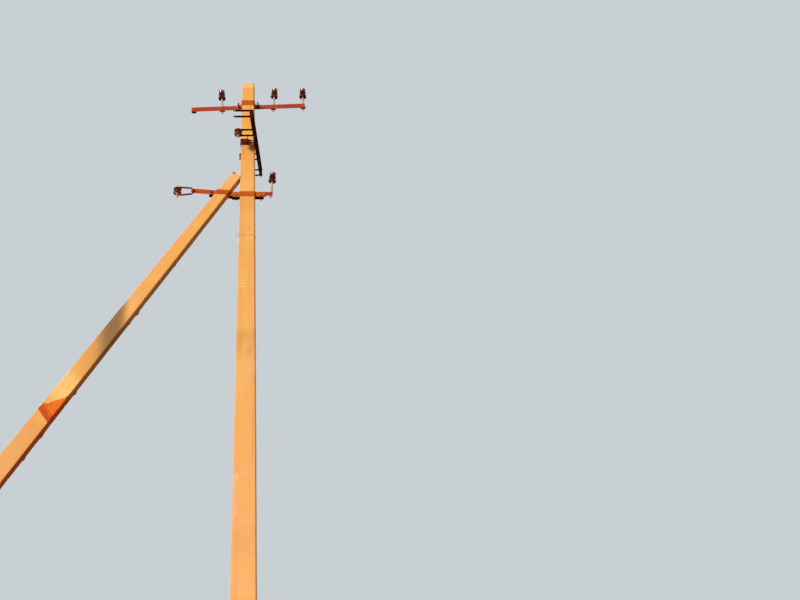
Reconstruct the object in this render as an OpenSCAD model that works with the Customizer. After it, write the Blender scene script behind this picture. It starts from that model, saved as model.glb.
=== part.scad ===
// Low-voltage line pole of prestressed concrete with a concrete strut pole,
// steel cross-arms and clamps, and porcelain pin and shackle insulators.
// Millimetres. The origin is the middle of the main pole's foot at ground
// level, +X runs along the top cross-arm, +Z is up.

/* [Main pole] */
// Height of the main pole above the ground
pole_h = 7500; // [7000:50:9000]
// Width of the main pole at its top
pole_top_w = 145; // [125:1:170]
// Thickness of the main pole, the same all the way
pole_t = 90; // [80:1:120]
// Gain in width for each metre down the main pole
pole_taper = 18.1; // [10:0.1:22]
// Chamfer on the long edges of both poles
edge_chamfer = 9; // [3:1:15]

/* [Strut pole] */
// Lean of the strut pole from upright
strut_lean = 34.1; // [28:0.1:38]
// Width of the strut pole at its top
strut_top_w = 124; // [105:1:140]
// Thickness of the strut pole
strut_t = 100; // [90:1:120]
// Gain in width for each metre down the strut pole
strut_taper = 18.1; // [10:0.1:22]
// Depth below the main pole's top at which the strut's end bears on it
strut_drop = 1370; // [1250:5:1500]
// Length of the strut pole above that point, cut flat to bear on the main pole
strut_head = 30; // [10:1:60]

/* [Top cross-arm] */
// Depth of the top cross-arm's centre below the pole's top
top_arm_drop = 304; // [220:2:400]
// Length of the top cross-arm
top_arm_len = 1390; // [1380:5:1700]
// Leg of the top cross-arm's angle section
top_arm_leg = 60; // [52:1:75]
// Thickness of the top cross-arm's legs
top_arm_t = 6; // [5:0.5:8]
// Tilt of the top cross-arm, right end up
top_arm_tilt = 2.4; // [0:0.1:4]
// Distance from the top cross-arm's ends to its outer holes
outer_pin_edge = 22; // [20:1:60]
// Distance from the pole's centre to the left inner pin
left_pin_x = 328; // [250:1:400]
// Distance from the pole's centre to the right inner pin
right_pin_x = 303; // [250:1:400]
// Lean of the right inner pin from square to the arm, loose in a worn hole
right_pin_lean = 6.5; // [0:0.5:10]
// Lean of the right outer pin from square to the arm
outer_pin_lean = 2; // [0:0.5:5]
// Distance from the pole's centre to the clamp bolts of the top arm
top_bolt_x = 117; // [110:1:130]
// Height of the top clamp's strap above the arm's centre
top_strap_rise = 7; // [0:1:12]
// Length of the top clamp's bolts toward the front of the pole
top_bolt_len = 104; // [60:1:130]

/* [Clamps] */
// Height of the flat bar that passes over a pole's front face
strap_h = 62; // [50:1:75]
// Thickness of every flat bar
flat_t = 6; // [5:0.5:8]
// Inside bend radius of the flat bars
bend_r = 4; // [2:0.5:7]
// Height of the flat bars behind the poles
back_bar_h = 50; // [44:1:60]
// Step from a strap's front face back to its ears
ear_step = 20; // [14:0.5:26]
// Depth of the lower clamp's centre below the pole's top
clamp_drop = 1582; // [1560:2:1640]
// Distance from the pole's centre to the bolt that both clamps share
shared_bolt_x = 141; // [130:1:150]
// Reach of the lower clamp's left ear
left_ear_x = 170; // [165:1:185]
// Distance from the pole's centre to the lower clamp's right bolt
right_bolt_x = 149; // [140:1:160]
// Distance from the pole's centre to the arm's own bolt
arm_bolt_x = 199; // [190:1:210]
// Reach of the lower clamp's right ear
right_ear_x = 217; // [212:1:230]
// Depth of the right bolts below the lower clamp's centre
right_bolt_drop = 11; // [8:0.5:15]
// Reach of the flat bar behind the main pole
back_bar_x = 186; // [176:1:200]

/* [Lower arm] */
// Leg of the lower arm's angle section
lower_arm_leg = 50; // [46:1:54]
// Thickness of the lower arm's legs
lower_arm_t = 5; // [4:0.5:6]
// Start of the lower arm, from the pole's centre
lower_arm_start = 108; // [104:1:118]
// End of the lower arm, from the pole's centre
lower_arm_end = 293; // [290:1:320]
// Distance from the lower arm's end to its pin
lower_pin_edge = 19; // [18:1:40]
// Lean of the lower pin, top to the right
lower_pin_lean = 5; // [0:0.5:8]

/* [Strut clamp] */
// Height of the flat bar that passes over the strut pole
strut_bar_h = 55; // [50:1:60]
// Tilt of the strut pole's bars, left end up
strut_bar_tilt = 6; // [4:0.5:7]
// Height of the bar's centre above the shared bolt
strut_bar_rise = 11; // [8:0.5:15]
// Distance of the tab on the bar's left end from the main pole's centre
strut_bar_x = 630; // [600:1:660]
// Reach of the bar past its tab
strut_bar_lap = 14; // [0:1:20]
// Distance from the shared bolt to the strut clamp's left bolt
strut_bolt_x = 275; // [265:1:300]
// Reach of the strut's back bar beyond its bolts
back_bar_lap = 38; // [25:1:45]
// Height of the strut's back bar
strut_back_h = 44; // [40:1:60]
// Height of the strut's back bar's centre above the shared bolt
strut_back_rise = 9; // [0:1:10]
// Width of the tab at the bar's left end
tab_w = 40; // [34:1:50]
// Height of the tab at the bar's left end
tab_h = 50; // [44:1:60]

/* [End shackle] */
// Distance between the main pole's centre and the end insulator
end_x = 800; // [780:1:830]
// Width of the end strap's flat
end_strap_w = 30; // [24:1:36]
// Depth of the end strap's centre below the bar's centre
end_strap_drop = 15; // [5:1:20]
// Inside height of the end strap at the tab
end_strap_h = 72; // [66:1:80]
// Inside height of the end strap at its insulator
end_strap_gap = 96; // [86:1:110]

/* [Branch arm] */
// Depth of the branch arm's centre below the pole's top
branch_drop = 882; // [780:2:960]
// Length of the branch arm
branch_len = 1302; // [1280:2:1600]
// Height of the branch arm's channel section, as high as a shackle insulator
channel_h = 75; // [70:1:90]
// Width of the channel's flanges
channel_w = 40; // [36:1:50]
// Thickness of the channel's web
channel_web = 5; // [4:0.5:6]
// Thickness of the channel's flanges
channel_flange = 6; // [5:0.5:8]
// Distance from the branch arm's ends to its outer straps
outer_strap_edge = 16; // [16:1:80]
// Distance from the pole's centre to the inner straps
inner_strap_y = 260; // [200:1:320]
// Distance between the two bolts of a branch strap
branch_strap_len = 192; // [175:1:210]
// Width of the branch straps
branch_strap_w = 30; // [26:1:36]
// Thickness of the branch straps
branch_strap_t = 5; // [4:0.5:7]
// Height of the saddle on the pole's left face
saddle_h = 84; // [76:1:92]
// Height of the saddle's centre above the branch arm's centre
saddle_rise = 15; // [0:1:18]
// Reach of the saddle's lugs past the pole's centre
saddle_lug_x = 3; // [-10:1:12]
// Depth of the saddle's lugs
saddle_lug = 42; // [38:1:55]
// Height between the two saddle bolts of a side
saddle_bolt_gap = 36; // [34:0.5:38]

/* [Bolts and pins] */
// Diameter of the clamp and shackle bolts
bolt_d = 16; // [12:1:17]
// Diameter of the saddle and tab bolts
small_bolt_d = 12; // [8:1:13]
// Diameter of a pin's threaded shank
shank_d = 20; // [16:1:22]
// Clearance round a bolt or a pin in its hole
hole_gap = 0.5; // [0.3:0.1:1]
// Diameter of a pin's stalk at its collar
stalk_base_d = 34; // [30:1:38]
// Diameter of a pin's stalk in the insulator
stalk_top_d = 24; // [20:1:26]
// Height of the left insulator over its seat
left_stalk_h = 134; // [110:1:165]
// Height of the right inner insulator over its seat
inner_stalk_h = 134; // [110:1:165]
// Height of the right outer insulator over its seat
outer_stalk_h = 118; // [110:1:165]
// Height of the lower insulator over its seat
lower_stalk_h = 152; // [110:1:165]
// Length of a pin below its seat
shank_len = 86; // [76:1:100]
// Length of the lower pin and of the bare bolt below their seats
short_shank_len = 66; // [60:1:86]
// Width of the plate on a pin's shank, along the arm
plate_w = 60; // [44:1:66]
// Depth of the plate on a pin's shank
plate_d = 48; // [40:1:50]

/* [Insulators] */
// Height of a pin insulator
pin_ins_h = 124; // [108:1:130]
// Diameter of a pin insulator's skirt
skirt_d = 90; // [84:1:96]
// Diameter of a pin insulator's body
body_d = 80; // [72:1:84]
// Diameter of a pin insulator's neck groove
neck_d = 56; // [52:1:60]
// Diameter of a pin insulator's head
head_d = 68; // [62:1:69]
// Depth of the socket for the pin, from the skirt's edge
socket_z = 62; // [56:1:70]
// Diameter of a shackle insulator
shackle_d = 92; // [84:1:100]
// Diameter of a shackle insulator's groove
shackle_neck_d = 52; // [46:1:60]

/* [Wire tie] */
// Height of the wire tie below the pole's top
tie_drop = 2120; // [1900:10:2400]
// Diameter of the tie wire
tie_d = 4; // [3:0.5:6]
// Radius of the eye that stands on the tie at the pole's back
tie_eye = 40; // [20:1:60]

/* [Hidden] */

$fn = 48;
// Clearance between a clamp and the tapered side of a pole
side_gap = 0.3;
// Overlap that makes a cut pass through a face
eps = 1;

concrete = [0.80, 0.66, 0.45];
rust = [0.70, 0.27, 0.12];
dark_rust = [0.33, 0.13, 0.10];
zinc = [0.72, 0.70, 0.66];
glaze = [0.26, 0.10, 0.07];

top_arm_z = pole_h - top_arm_drop;
clamp_z = pole_h - clamp_drop;
branch_z = pole_h - branch_drop;
tie_z = pole_h - tie_drop;
strut_seat_z = pole_h - strut_drop;

// Faces: the strut pole's back stands back by one flat bar, so that the bars behind lap
pole_front = -pole_t/2;
pole_back = pole_t/2;
strut_back = pole_back + flat_t;
strut_front = strut_back - strut_t;
strut_y = (strut_front + strut_back)/2;
// Front face of the lower clamp's ears
ear_y = pole_front - flat_t + ear_step;

// Half the width of the main pole at a height
function pole_half(z) = pole_top_w/2 + (pole_h - z)*pole_taper/2000;
// Half the width of the strut pole at a distance along it from its top
function strut_half(s) = strut_top_w/2 + s*strut_taper/2000;

// Middle of the strut pole where its right edge meets the main pole
strut_end_x = -pole_half(strut_seat_z) - side_gap - strut_top_w/2*cos(strut_lean);
strut_end_z = strut_seat_z + strut_top_w/2*sin(strut_lean);

// Bolt sizes by the thread's diameter
function head_h(d) = 0.64*d;
function nut_h(d) = 0.8*d;
function hex_d(d) = 1.5*d/cos(30);
washer_t = 3;
// Lengths of thread past the nuts: long clamp bolts, shackle and arm bolts, small bolts
clamp_tail = 28;
short_tail = 14;
small_tail = 10;

// Points on an arc, from angle a0 to a1
function arc(c, r, a0, a1, n) = [for (i = [0:n]) c + r*[cos(a0 + (a1 - a0)*i/n), sin(a0 + (a1 - a0)*i/n)]];

// Stations [point, direction] along a flat bar's centre line with bends of radius r
function unit(v) = v/norm(v);
function left_of(v) = [-v.y, v.x];
function turned(v, a) = [v.x*cos(a) - v.y*sin(a), v.x*sin(a) + v.y*cos(a)];
function turn_angle(a, b) = atan2(a.x*b.y - a.y*b.x, a.x*b.x + a.y*b.y);
bend_steps = 5;
function corner(p, c, n, r) =
    let (d = unit(c - p), a = turn_angle(d, unit(n - c)), s = sign(a),
         start = c - d*r*tan(abs(a)/2), hub = start + left_of(d)*s*r)
    [for (i = [0:bend_steps]) [hub + turned(start - hub, a*i/bend_steps), turned(d, a*i/bend_steps)]];
function stations(path, r) = concat(
    [[path[0], unit(path[1] - path[0])]],
    [for (i = [1:len(path) - 2]) each corner(path[i - 1], path[i], path[i + 1], r)],
    [[path[len(path) - 1], unit(path[len(path) - 1] - path[len(path) - 2])]]);
// Outline of a flat bar of thickness t bent along a path
module bent_flat(path, t, r) {
    line = stations(path, r + t/2);
    n = len(line);
    polygon(concat(
        [for (i = [0:n - 1]) line[i][0] + left_of(line[i][1])*t/2],
        [for (i = [0:n - 1]) line[n - 1 - i][0] - left_of(line[n - 1 - i][1])*t/2]));
}

// Angle section: one leg up the second axis, one leg along the first, root fillet inside
module angle_section(leg, t) {
    toe = t/2;
    root = 0.9*t;
    polygon(concat([[0, 0], [leg, 0]],
        arc([leg - toe, t - toe], toe, 0, 90, 4),
        arc([t + root, t + root], root, 270, 180, 5),
        arc([t - toe, leg - toe], toe, 0, 90, 4),
        [[0, leg]]));
}

// Channel section: web on the first axis' zero, flanges along it
module channel_section(h, w, web, flange) {
    root = 5;
    toe = 2.5;
    half = concat(
        [[0, h/2], [w, h/2]],
        arc([w - toe, h/2 - flange + toe], toe, 0, -90, 4),
        arc([web + root, h/2 - flange - root], root, 90, 180, 5));
    polygon(concat(half, [for (i = [len(half) - 1:-1:0]) [half[i].x, -half[i].y]]));
}

// Bolt along +Z: the head's seat is at zero, the nut's seat at the grip
module bolt(d, grip, tail, plate = washer_t) {
    translate([0, 0, -head_h(d)])
        cylinder(h = head_h(d), d = hex_d(d), $fn = 6);
    cylinder(h = grip + plate + nut_h(d) + tail, d = d);
    translate([0, 0, grip])
        cylinder(h = plate, d = 2.1*d);
    translate([0, 0, grip + plate])
        cylinder(h = nut_h(d), d = hex_d(d), $fn = 6);
}

// Hole for a bolt or a shank, open at both ends
module hole(d, length) {
    translate([0, 0, -eps])
        cylinder(h = length + 2*eps, d = d + 2*hole_gap);
}

// Hole for a pin that leans, through a leg of thickness t whose upper face is at zero
module pin_hole(lean, t) {
    rotate([0, lean, 0])
        translate([0, 0, -2*t])
            cylinder(h = 3*t, d = shank_d + 2*hole_gap);
}

// Tapered rectangular post that hangs down from its top end, with chamfered long edges
module tapered_post(length, top_w, t, taper) {
    foot_w = top_w + length*taper/1000;
    side = atan(taper/2000);
    difference() {
        rotate([90, 0, 0])
            linear_extrude(height = t, center = true)
                polygon([[-top_w/2, 0], [top_w/2, 0], [foot_w/2, -length], [-foot_w/2, -length]]);
        for (sx = [-1, 1], sy = [-1, 1])
            translate([sx*top_w/2, sy*t/2, 0])
                rotate([0, -sx*side, 0])
                    rotate([0, 0, 45])
                        cube([edge_chamfer*sqrt(2), edge_chamfer*sqrt(2), 2.2*length], center = true);
    }
}

module main_pole() {
    color(concrete)
        translate([0, 0, pole_h])
            tapered_post(pole_h, pole_top_w, pole_t, pole_taper);
}

// Frame of the strut pole: zero at its top end, -Z down its length
module on_strut() {
    translate([strut_end_x, strut_y, strut_end_z])
        rotate([0, strut_lean, 0])
            children();
}

module strut_pole() {
    slack = 400;
    length = strut_end_z/cos(strut_lean) + slack;
    below = 2*slack;
    side = atan(pole_taper/2000);
    color(concrete)
        difference() {
            on_strut()
                translate([0, 0, strut_head])
                    tapered_post(length, 2*strut_half(-strut_head), strut_t, strut_taper);
            translate([-pole_h, -strut_t, -below])
                cube([pole_h, 2*strut_t + pole_t, below]);
            translate([-pole_half(strut_seat_z) - side_gap, -strut_t, strut_seat_z])
                rotate([0, side, 0])
                    cube([strut_top_w, 2*strut_t, slack]);
        }
}

// Frame of the top cross-arm: zero on the pole's back face at the arm's centre
module on_top_arm() {
    translate([0, pole_back, top_arm_z])
        rotate([0, -top_arm_tilt, 0])
            children();
}

// Gauge of the pin holes from the angle's back
top_pin_y = top_arm_leg/2 + 2;
// Distance from the pole's centre to the outer holes
outer_pin_x = top_arm_len/2 - outer_pin_edge;
pin_places = [[-outer_pin_x, 0], [-left_pin_x, 0],
              [right_pin_x, right_pin_lean], [outer_pin_x, outer_pin_lean]];
// Height of the arm's upper face over its centre
top_face = top_arm_leg/2;

module top_crossarm() {
    color(rust)
        on_top_arm() difference() {
            translate([0, 0, top_face])
                rotate([90, 0, 90])
                    linear_extrude(height = top_arm_len, center = true)
                        mirror([0, 1, 0]) angle_section(top_arm_leg, top_arm_t);
            for (place = pin_places)
                translate([place[0], top_pin_y, top_face])
                    pin_hole(place[1], top_arm_t);
            for (x = [-top_bolt_x, top_bolt_x])
                translate([x, 0, 0])
                    rotate([-90, 0, 0]) hole(bolt_d, top_arm_t);
        }
}

// Strap round the pole's front and sides with ears on the cross-arm's face
module top_clamp_strap() {
    side = pole_half(top_arm_z + top_strap_rise - strap_h/2) + side_gap + flat_t/2;
    ear_end = top_bolt_x + 1.7*bolt_d;
    ear = pole_back - flat_t/2;
    front = pole_front - flat_t/2;
    color(rust)
        difference() {
            translate([0, 0, top_arm_z + top_strap_rise])
                linear_extrude(height = strap_h, center = true)
                    bent_flat([[-ear_end, ear], [-side, ear], [-side, front],
                        [side, front], [side, ear], [ear_end, ear]], flat_t, bend_r);
            on_top_arm()
                for (x = [-top_bolt_x, top_bolt_x])
                    translate([x, -flat_t, 0])
                        rotate([-90, 0, 0]) hole(bolt_d, flat_t);
        }
}

// Long bolt from the arm's back, its thread standing out past the ear
module top_clamp_bolt(x) {
    tail = top_bolt_len - top_arm_t - flat_t - washer_t - nut_h(bolt_d);
    color(dark_rust)
        on_top_arm()
            translate([x, top_arm_t, 0])
                rotate([90, 0, 0]) bolt(bolt_d, top_arm_t + flat_t, tail);
}

module top_clamp_bolt_left() { top_clamp_bolt(-top_bolt_x); }
module top_clamp_bolt_right() { top_clamp_bolt(top_bolt_x); }

// Nuts and plate on a pin's shank below a seat of thickness t
module shank_fittings(t, plate) {
    step = nut_h(shank_d);
    stack = plate ? 2 : 1;
    cap = 6;
    translate([0, 0, -t - stack*step])
        cylinder(h = stack*step + seat_slack, d = hex_d(shank_d), $fn = 6);
    if (plate) {
        translate([-plate_w/2, -plate_d/2, -t - stack*step - cap])
            cube([plate_w, plate_d, cap]);
        translate([0, 0, -t - stack*step - cap - step])
            cylinder(h = step, d = hex_d(shank_d), $fn = 6);
    }
}

// Length that a leaning pin's collar and nuts run on into their seat before the seat trims them
seat_slack = 4;

// Everything above a seat, or below the underside of its leg of thickness t
module over_seat() {
    intersection() {
        children();
        translate([-plate_w, -plate_w, 0])
            cube([2*plate_w, 2*plate_w, 2*pin_ins_h]);
    }
}

module under_seat(t) {
    intersection() {
        children();
        translate([-plate_w, -plate_w, -2*shank_len - t])
            cube([2*plate_w, 2*plate_w, 2*shank_len]);
    }
}

// Frame of a pin that leans as a whole about the middle of its seat
module leaning(lean) {
    rotate([0, lean, 0]) children();
}

// Steel pin that stands on a seat: collar, tapered stalk, head in the insulator's socket
collar_h = 9;
collar_lip = 3;
pin_top_gap = 2;
module insulator_pin(t, lean, stalk_h, shank, plate) {
    foot = 16;
    grip_h = 22;
    shoulder = 6;
    leaning(lean) {
        translate([0, 0, -shank])
            cylinder(h = shank + collar_h, d = shank_d);
        cylinder(h = foot, d = shank_d);
        translate([0, 0, foot - 2])
            cylinder(h = stalk_h - foot - grip_h, d1 = stalk_base_d - 3, d2 = stalk_top_d);
        translate([0, 0, stalk_h - grip_h - shoulder])
            cylinder(h = grip_h + shoulder + socket_z - pin_top_gap, d = stalk_top_d);
    }
    over_seat()
        leaning(lean)
            translate([0, 0, -seat_slack]) {
                cylinder(h = collar_h + seat_slack, d = stalk_base_d + 2*collar_lip);
                cylinder(h = foot + seat_slack, d = stalk_base_d);
            }
    under_seat(t)
        leaning(lean) shank_fittings(t, plate);
}

// Porcelain pin insulator: revolved bell with a neck groove and a hollow skirt
module pin_insulator_body() {
    rim = 4;
    head = head_d/2;
    neck = neck_d/2;
    body = body_d/2;
    skirt = skirt_d/2;
    socket = stalk_top_d/2 + hole_gap;
    neck_z = 0.70*pin_ins_h;
    neck_r = 7;
    dome = 17;
    shoulder = 0.56*pin_ins_h;
    waist = 0.30*pin_ins_h;
    profile = concat(
        [[0, socket_z], [0, pin_ins_h]],
        [for (a = [78:-13:0]) [head*cos(a), pin_ins_h - dome + dome*sin(a)]],
        [[head, neck_z + neck_r]],
        [for (a = [60:-30:-60]) [neck + neck_r*(1 - cos(a)), neck_z + neck_r*sin(a)]],
        [[body - 3, neck_z - neck_r - 1], [body, shoulder], [body, waist],
         [body + 0.35*(skirt - body), waist - 9], [skirt, 0.13*pin_ins_h]],
        arc([skirt - rim, rim], rim, 0, -90, 4),
        arc([skirt - 2*rim, rim], rim, 270, 180, 3),
        [[body - 12, waist - 6], [socket + 7, waist + 3], [socket, waist + 6], [socket, socket_z]]);
    rotate_extrude(convexity = 6) polygon(profile);
}

// Insulator pin on the top cross-arm, and its insulator
module top_pin(x, lean, stalk_h) {
    color(zinc)
        on_top_arm()
            translate([x, top_pin_y, top_face]) insulator_pin(top_arm_t, lean, stalk_h, shank_len, true);
}

module top_insulator(x, lean, stalk_h) {
    color(glaze)
        on_top_arm()
            translate([x, top_pin_y, top_face])
                leaning(lean) translate([0, 0, stalk_h]) pin_insulator_body();
}

module pin_left() { top_pin(-left_pin_x, 0, left_stalk_h); }
module pin_inner_right() { top_pin(right_pin_x, right_pin_lean, inner_stalk_h); }
module pin_outer_right() { top_pin(outer_pin_x, outer_pin_lean, outer_stalk_h); }
module pin_insulator_left() { top_insulator(-left_pin_x, 0, left_stalk_h); }
module pin_insulator_inner_right() { top_insulator(right_pin_x, right_pin_lean, inner_stalk_h); }
module pin_insulator_outer_right() { top_insulator(outer_pin_x, outer_pin_lean, outer_stalk_h); }

// Bolt in the left outer hole, where the neutral is tied without an insulator
module neutral_bolt() {
    color(dark_rust)
        on_top_arm()
            translate([-outer_pin_x, top_pin_y, top_face]) {
                translate([0, 0, -short_shank_len])
                    cylinder(h = short_shank_len, d = shank_d);
                cylinder(h = head_h(shank_d), d = hex_d(shank_d), $fn = 6);
                under_seat(top_arm_t) shank_fittings(top_arm_t, true);
            }
}

right_bolt_z = clamp_z - right_bolt_drop;

module along_y(x, y, z) {
    translate([x, y, z])
        rotate([-90, 0, 0]) children();
}

// Strap over the main pole's front face with its ears set back beside the pole
module pole_clamp_strap() {
    side = pole_half(clamp_z - strap_h/2) + side_gap + flat_t/2;
    ear = ear_y + flat_t/2;
    front = pole_front - flat_t/2;
    color(rust)
        difference() {
            translate([0, 0, clamp_z])
                linear_extrude(height = strap_h, center = true)
                    bent_flat([[-left_ear_x, ear], [-side, ear], [-side, front],
                        [side, front], [side, ear], [right_ear_x, ear]], flat_t, bend_r);
            along_y(-shared_bolt_x, ear_y, clamp_z) hole(bolt_d, flat_t);
            for (x = [right_bolt_x, arm_bolt_x])
                along_y(x, ear_y, right_bolt_z) hole(bolt_d, flat_t);
        }
}

module pole_back_bar() {
    color(dark_rust)
        difference() {
            translate([-back_bar_x, pole_back, clamp_z - back_bar_h/2])
                cube([2*back_bar_x, flat_t, back_bar_h]);
            along_y(-shared_bolt_x, pole_back, clamp_z) hole(bolt_d, flat_t);
            along_y(right_bolt_x, pole_back, right_bolt_z) hole(bolt_d, flat_t);
        }
}

// The lower arm's front face lies on the back of the ear, its upper face level with the strap
lower_arm_y = ear_y + flat_t;
lower_arm_top = clamp_z + strap_h/2;
lower_pin_x = lower_arm_end - lower_pin_edge;
lower_pin_y = lower_arm_y + lower_arm_leg/2 + 2;

// Short angle behind the right ear, its upper leg toward the back
module lower_arm() {
    color(rust)
        difference() {
            translate([lower_arm_start, lower_arm_y, lower_arm_top])
                rotate([90, 0, 90])
                    linear_extrude(height = lower_arm_end - lower_arm_start)
                        mirror([0, 1, 0]) angle_section(lower_arm_leg, lower_arm_t);
            for (x = [right_bolt_x, arm_bolt_x])
                along_y(x, lower_arm_y, right_bolt_z) hole(bolt_d, lower_arm_t);
            translate([lower_pin_x, lower_pin_y, lower_arm_top])
                pin_hole(lower_pin_lean, lower_arm_t);
        }
}

module lower_arm_bolt() {
    color(dark_rust)
        along_y(arm_bolt_x, ear_y, right_bolt_z) bolt(bolt_d, flat_t + lower_arm_t, short_tail);
}

module clamp_bolt_shared() {
    grip = strut_back + flat_t - ear_y;
    color(dark_rust)
        along_y(-shared_bolt_x, ear_y, clamp_z) bolt(bolt_d, grip, clamp_tail);
}

module clamp_bolt_right() {
    grip = pole_back + flat_t - ear_y;
    color(dark_rust)
        along_y(right_bolt_x, ear_y, right_bolt_z) bolt(bolt_d, grip, clamp_tail);
}

module pin_lower() {
    color(zinc)
        translate([lower_pin_x, lower_pin_y, lower_arm_top])
            insulator_pin(lower_arm_t, lower_pin_lean, lower_stalk_h, short_shank_len, false);
}

module pin_insulator_lower() {
    color(glaze)
        translate([lower_pin_x, lower_pin_y, lower_arm_top])
            leaning(lower_pin_lean) translate([0, 0, lower_stalk_h]) pin_insulator_body();
}

// Frame of the strut's bars: zero at the shared bolt, tilted with them
module on_strut_bar() {
    translate([-shared_bolt_x, 0, clamp_z])
        rotate([0, strut_bar_tilt, 0])
            children();
}

// Height of the end strap's centre
end_z = clamp_z + strut_bar_rise + (strut_bar_x - shared_bolt_x)*tan(strut_bar_tilt) - end_strap_drop;

// Bar over the strut pole: its bends follow the strut's edges, its left end carries a tab
module strut_clamp_bar() {
    reach = 700;
    right_end = 34;
    run = (strut_end_z - clamp_z)/cos(strut_lean);
    side = strut_half(run + strut_bar_h) + side_gap + flat_t/2;
    ear = ear_y + 3*flat_t/2 - strut_y;
    front = strut_front - flat_t/2 - strut_y;
    color(rust)
        difference() {
            union() {
                intersection() {
                    on_strut()
                        translate([0, 0, -run])
                            linear_extrude(height = 2*reach, center = true)
                                bent_flat([[-reach, ear], [-side, ear], [-side, front],
                                    [side, front], [side, ear], [reach, ear]], flat_t, bend_r);
                    on_strut_bar()
                        translate([-reach, -pole_t, strut_bar_rise - strut_bar_h/2])
                            cube([reach + right_end, 2*pole_t, strut_bar_h]);
                    translate([-strut_bar_x - strut_bar_lap, -pole_t, 0])
                        cube([strut_bar_x, 2*pole_t, pole_h]);
                }
                translate([-strut_bar_x, ear_y + 2*flat_t - tab_w, end_z - tab_h/2])
                    cube([flat_t, tab_w, tab_h]);
            }
            on_strut_bar() {
                along_y(0, ear_y + flat_t, 0) hole(bolt_d, flat_t);
                along_y(-strut_bolt_x, ear_y + flat_t, strut_bar_rise) hole(bolt_d, flat_t);
            }
            translate([-strut_bar_x, end_y, end_z])
                rotate([0, 90, 0]) hole(small_bolt_d, flat_t);
        }
}

module strut_back_bar() {
    length = strut_bolt_x + 2*back_bar_lap;
    color(dark_rust)
        on_strut_bar()
            difference() {
                translate([-strut_bolt_x - back_bar_lap, strut_back, strut_back_rise - strut_back_h/2])
                    cube([length, flat_t, strut_back_h]);
                along_y(0, strut_back, 0) hole(bolt_d, flat_t);
                along_y(-strut_bolt_x, strut_back, strut_bar_rise) hole(bolt_d, flat_t);
            }
}

module strut_clamp_bolt() {
    grip = strut_back + flat_t - ear_y - flat_t;
    color(dark_rust)
        on_strut_bar()
            along_y(-strut_bolt_x, ear_y + flat_t, strut_bar_rise) bolt(bolt_d, grip, clamp_tail);
}

end_y = ear_y + 2*flat_t - tab_w/2 - flat_t/2;

// Strap bent to a U, its closed end on the tab and its legs spread to the insulator
module end_strap() {
    back = -strut_bar_x - flat_t/2;
    leg = end_strap_h/2 + flat_t/2;
    tip = end_strap_gap/2 + flat_t/2;
    flare = -end_x + 0.4*shackle_d;
    heel = 14;
    end = -end_x - end_strap_w/2;
    color(rust)
        difference() {
            translate([0, end_y, end_z])
                rotate([90, 0, 0])
                    linear_extrude(height = end_strap_w, center = true)
                        bent_flat([[end, tip], [flare, tip], [back - heel, leg], [back, leg],
                            [back, -leg], [back - heel, -leg], [flare, -tip], [end, -tip]], flat_t, bend_r);
            translate([-end_x, end_y, end_z - tip - flat_t/2])
                hole(bolt_d, 2*tip + flat_t);
            translate([-strut_bar_x - flat_t, end_y, end_z])
                rotate([0, 90, 0]) hole(small_bolt_d, flat_t);
        }
}

module end_strap_bolt() {
    color(dark_rust)
        translate([-strut_bar_x - flat_t, end_y, end_z])
            rotate([0, 90, 0]) bolt(small_bolt_d, 2*flat_t, small_tail);
}

// Shackle bolt with spacers that fill the strap's height above and below the insulator
module end_shackle_bolt() {
    grip = end_strap_gap + 2*flat_t;
    spacer = (end_strap_gap - channel_h)/2;
    spacer_d = 1.9*bolt_d;
    color(zinc)
        translate([-end_x, end_y, end_z + grip/2])
            rotate([180, 0, 0]) {
                bolt(bolt_d, grip, short_tail);
                for (z = [flat_t, flat_t + spacer + channel_h])
                    translate([0, 0, z]) cylinder(h = spacer, d = spacer_d);
            }
}

// Porcelain shackle insulator: a spool with a bore, its axis on Z and its middle at zero
module shackle_insulator_body() {
    h = channel_h;
    rim = 11;
    face = shackle_d/2 - rim - 3;
    bore = bolt_d/2 + hole_gap;
    neck = shackle_neck_d/2;
    groove = 0.23*h;
    upper = concat(
        [[neck, 0]],
        [for (a = [30:30:60]) [neck + groove*0.55*(1 - cos(a)), groove*sin(a)]],
        arc([shackle_d/2 - rim, h/2 - rim - 3], rim, -70, 70, 7),
        [[face, h/2], [bore, h/2]]);
    count = len(upper);
    rotate_extrude(convexity = 4)
        polygon(concat(upper, [for (i = [count - 1:-1:1]) [upper[i].x, -upper[i].y]]));
}

module end_shackle_insulator() {
    color(glaze)
        translate([-end_x, end_y, end_z]) shackle_insulator_body();
}

// Inner face of the branch arm's web, on the main pole's right face
web_x = pole_half(branch_z - channel_h/2) + side_gap;
strap_bolt_x = web_x + channel_web + (channel_w - channel_web)/2;
branch_tip_x = strap_bolt_x - branch_strap_len;
outer_strap_y = branch_len/2 - outer_strap_edge;
strap_ys = [-outer_strap_y, -inner_strap_y, inner_strap_y, outer_strap_y];
saddle_bolt_y = pole_t/2 + flat_t + saddle_lug/2 - 2;
saddle_bolt_zs = [branch_z - saddle_bolt_gap/2, branch_z + saddle_bolt_gap/2];

module branch_channel() {
    color(dark_rust)
        difference() {
            translate([web_x, 0, branch_z])
                rotate([90, 0, 0])
                    linear_extrude(height = branch_len, center = true)
                        channel_section(channel_h, channel_w, channel_web, channel_flange);
            for (y = strap_ys)
                translate([strap_bolt_x, y, branch_z - channel_h/2])
                    hole(small_bolt_d, channel_h);
            for (s = [-1, 1], z = saddle_bolt_zs)
                translate([web_x, s*saddle_bolt_y, z])
                    rotate([0, 90, 0]) hole(small_bolt_d, channel_web);
        }
}

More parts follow.
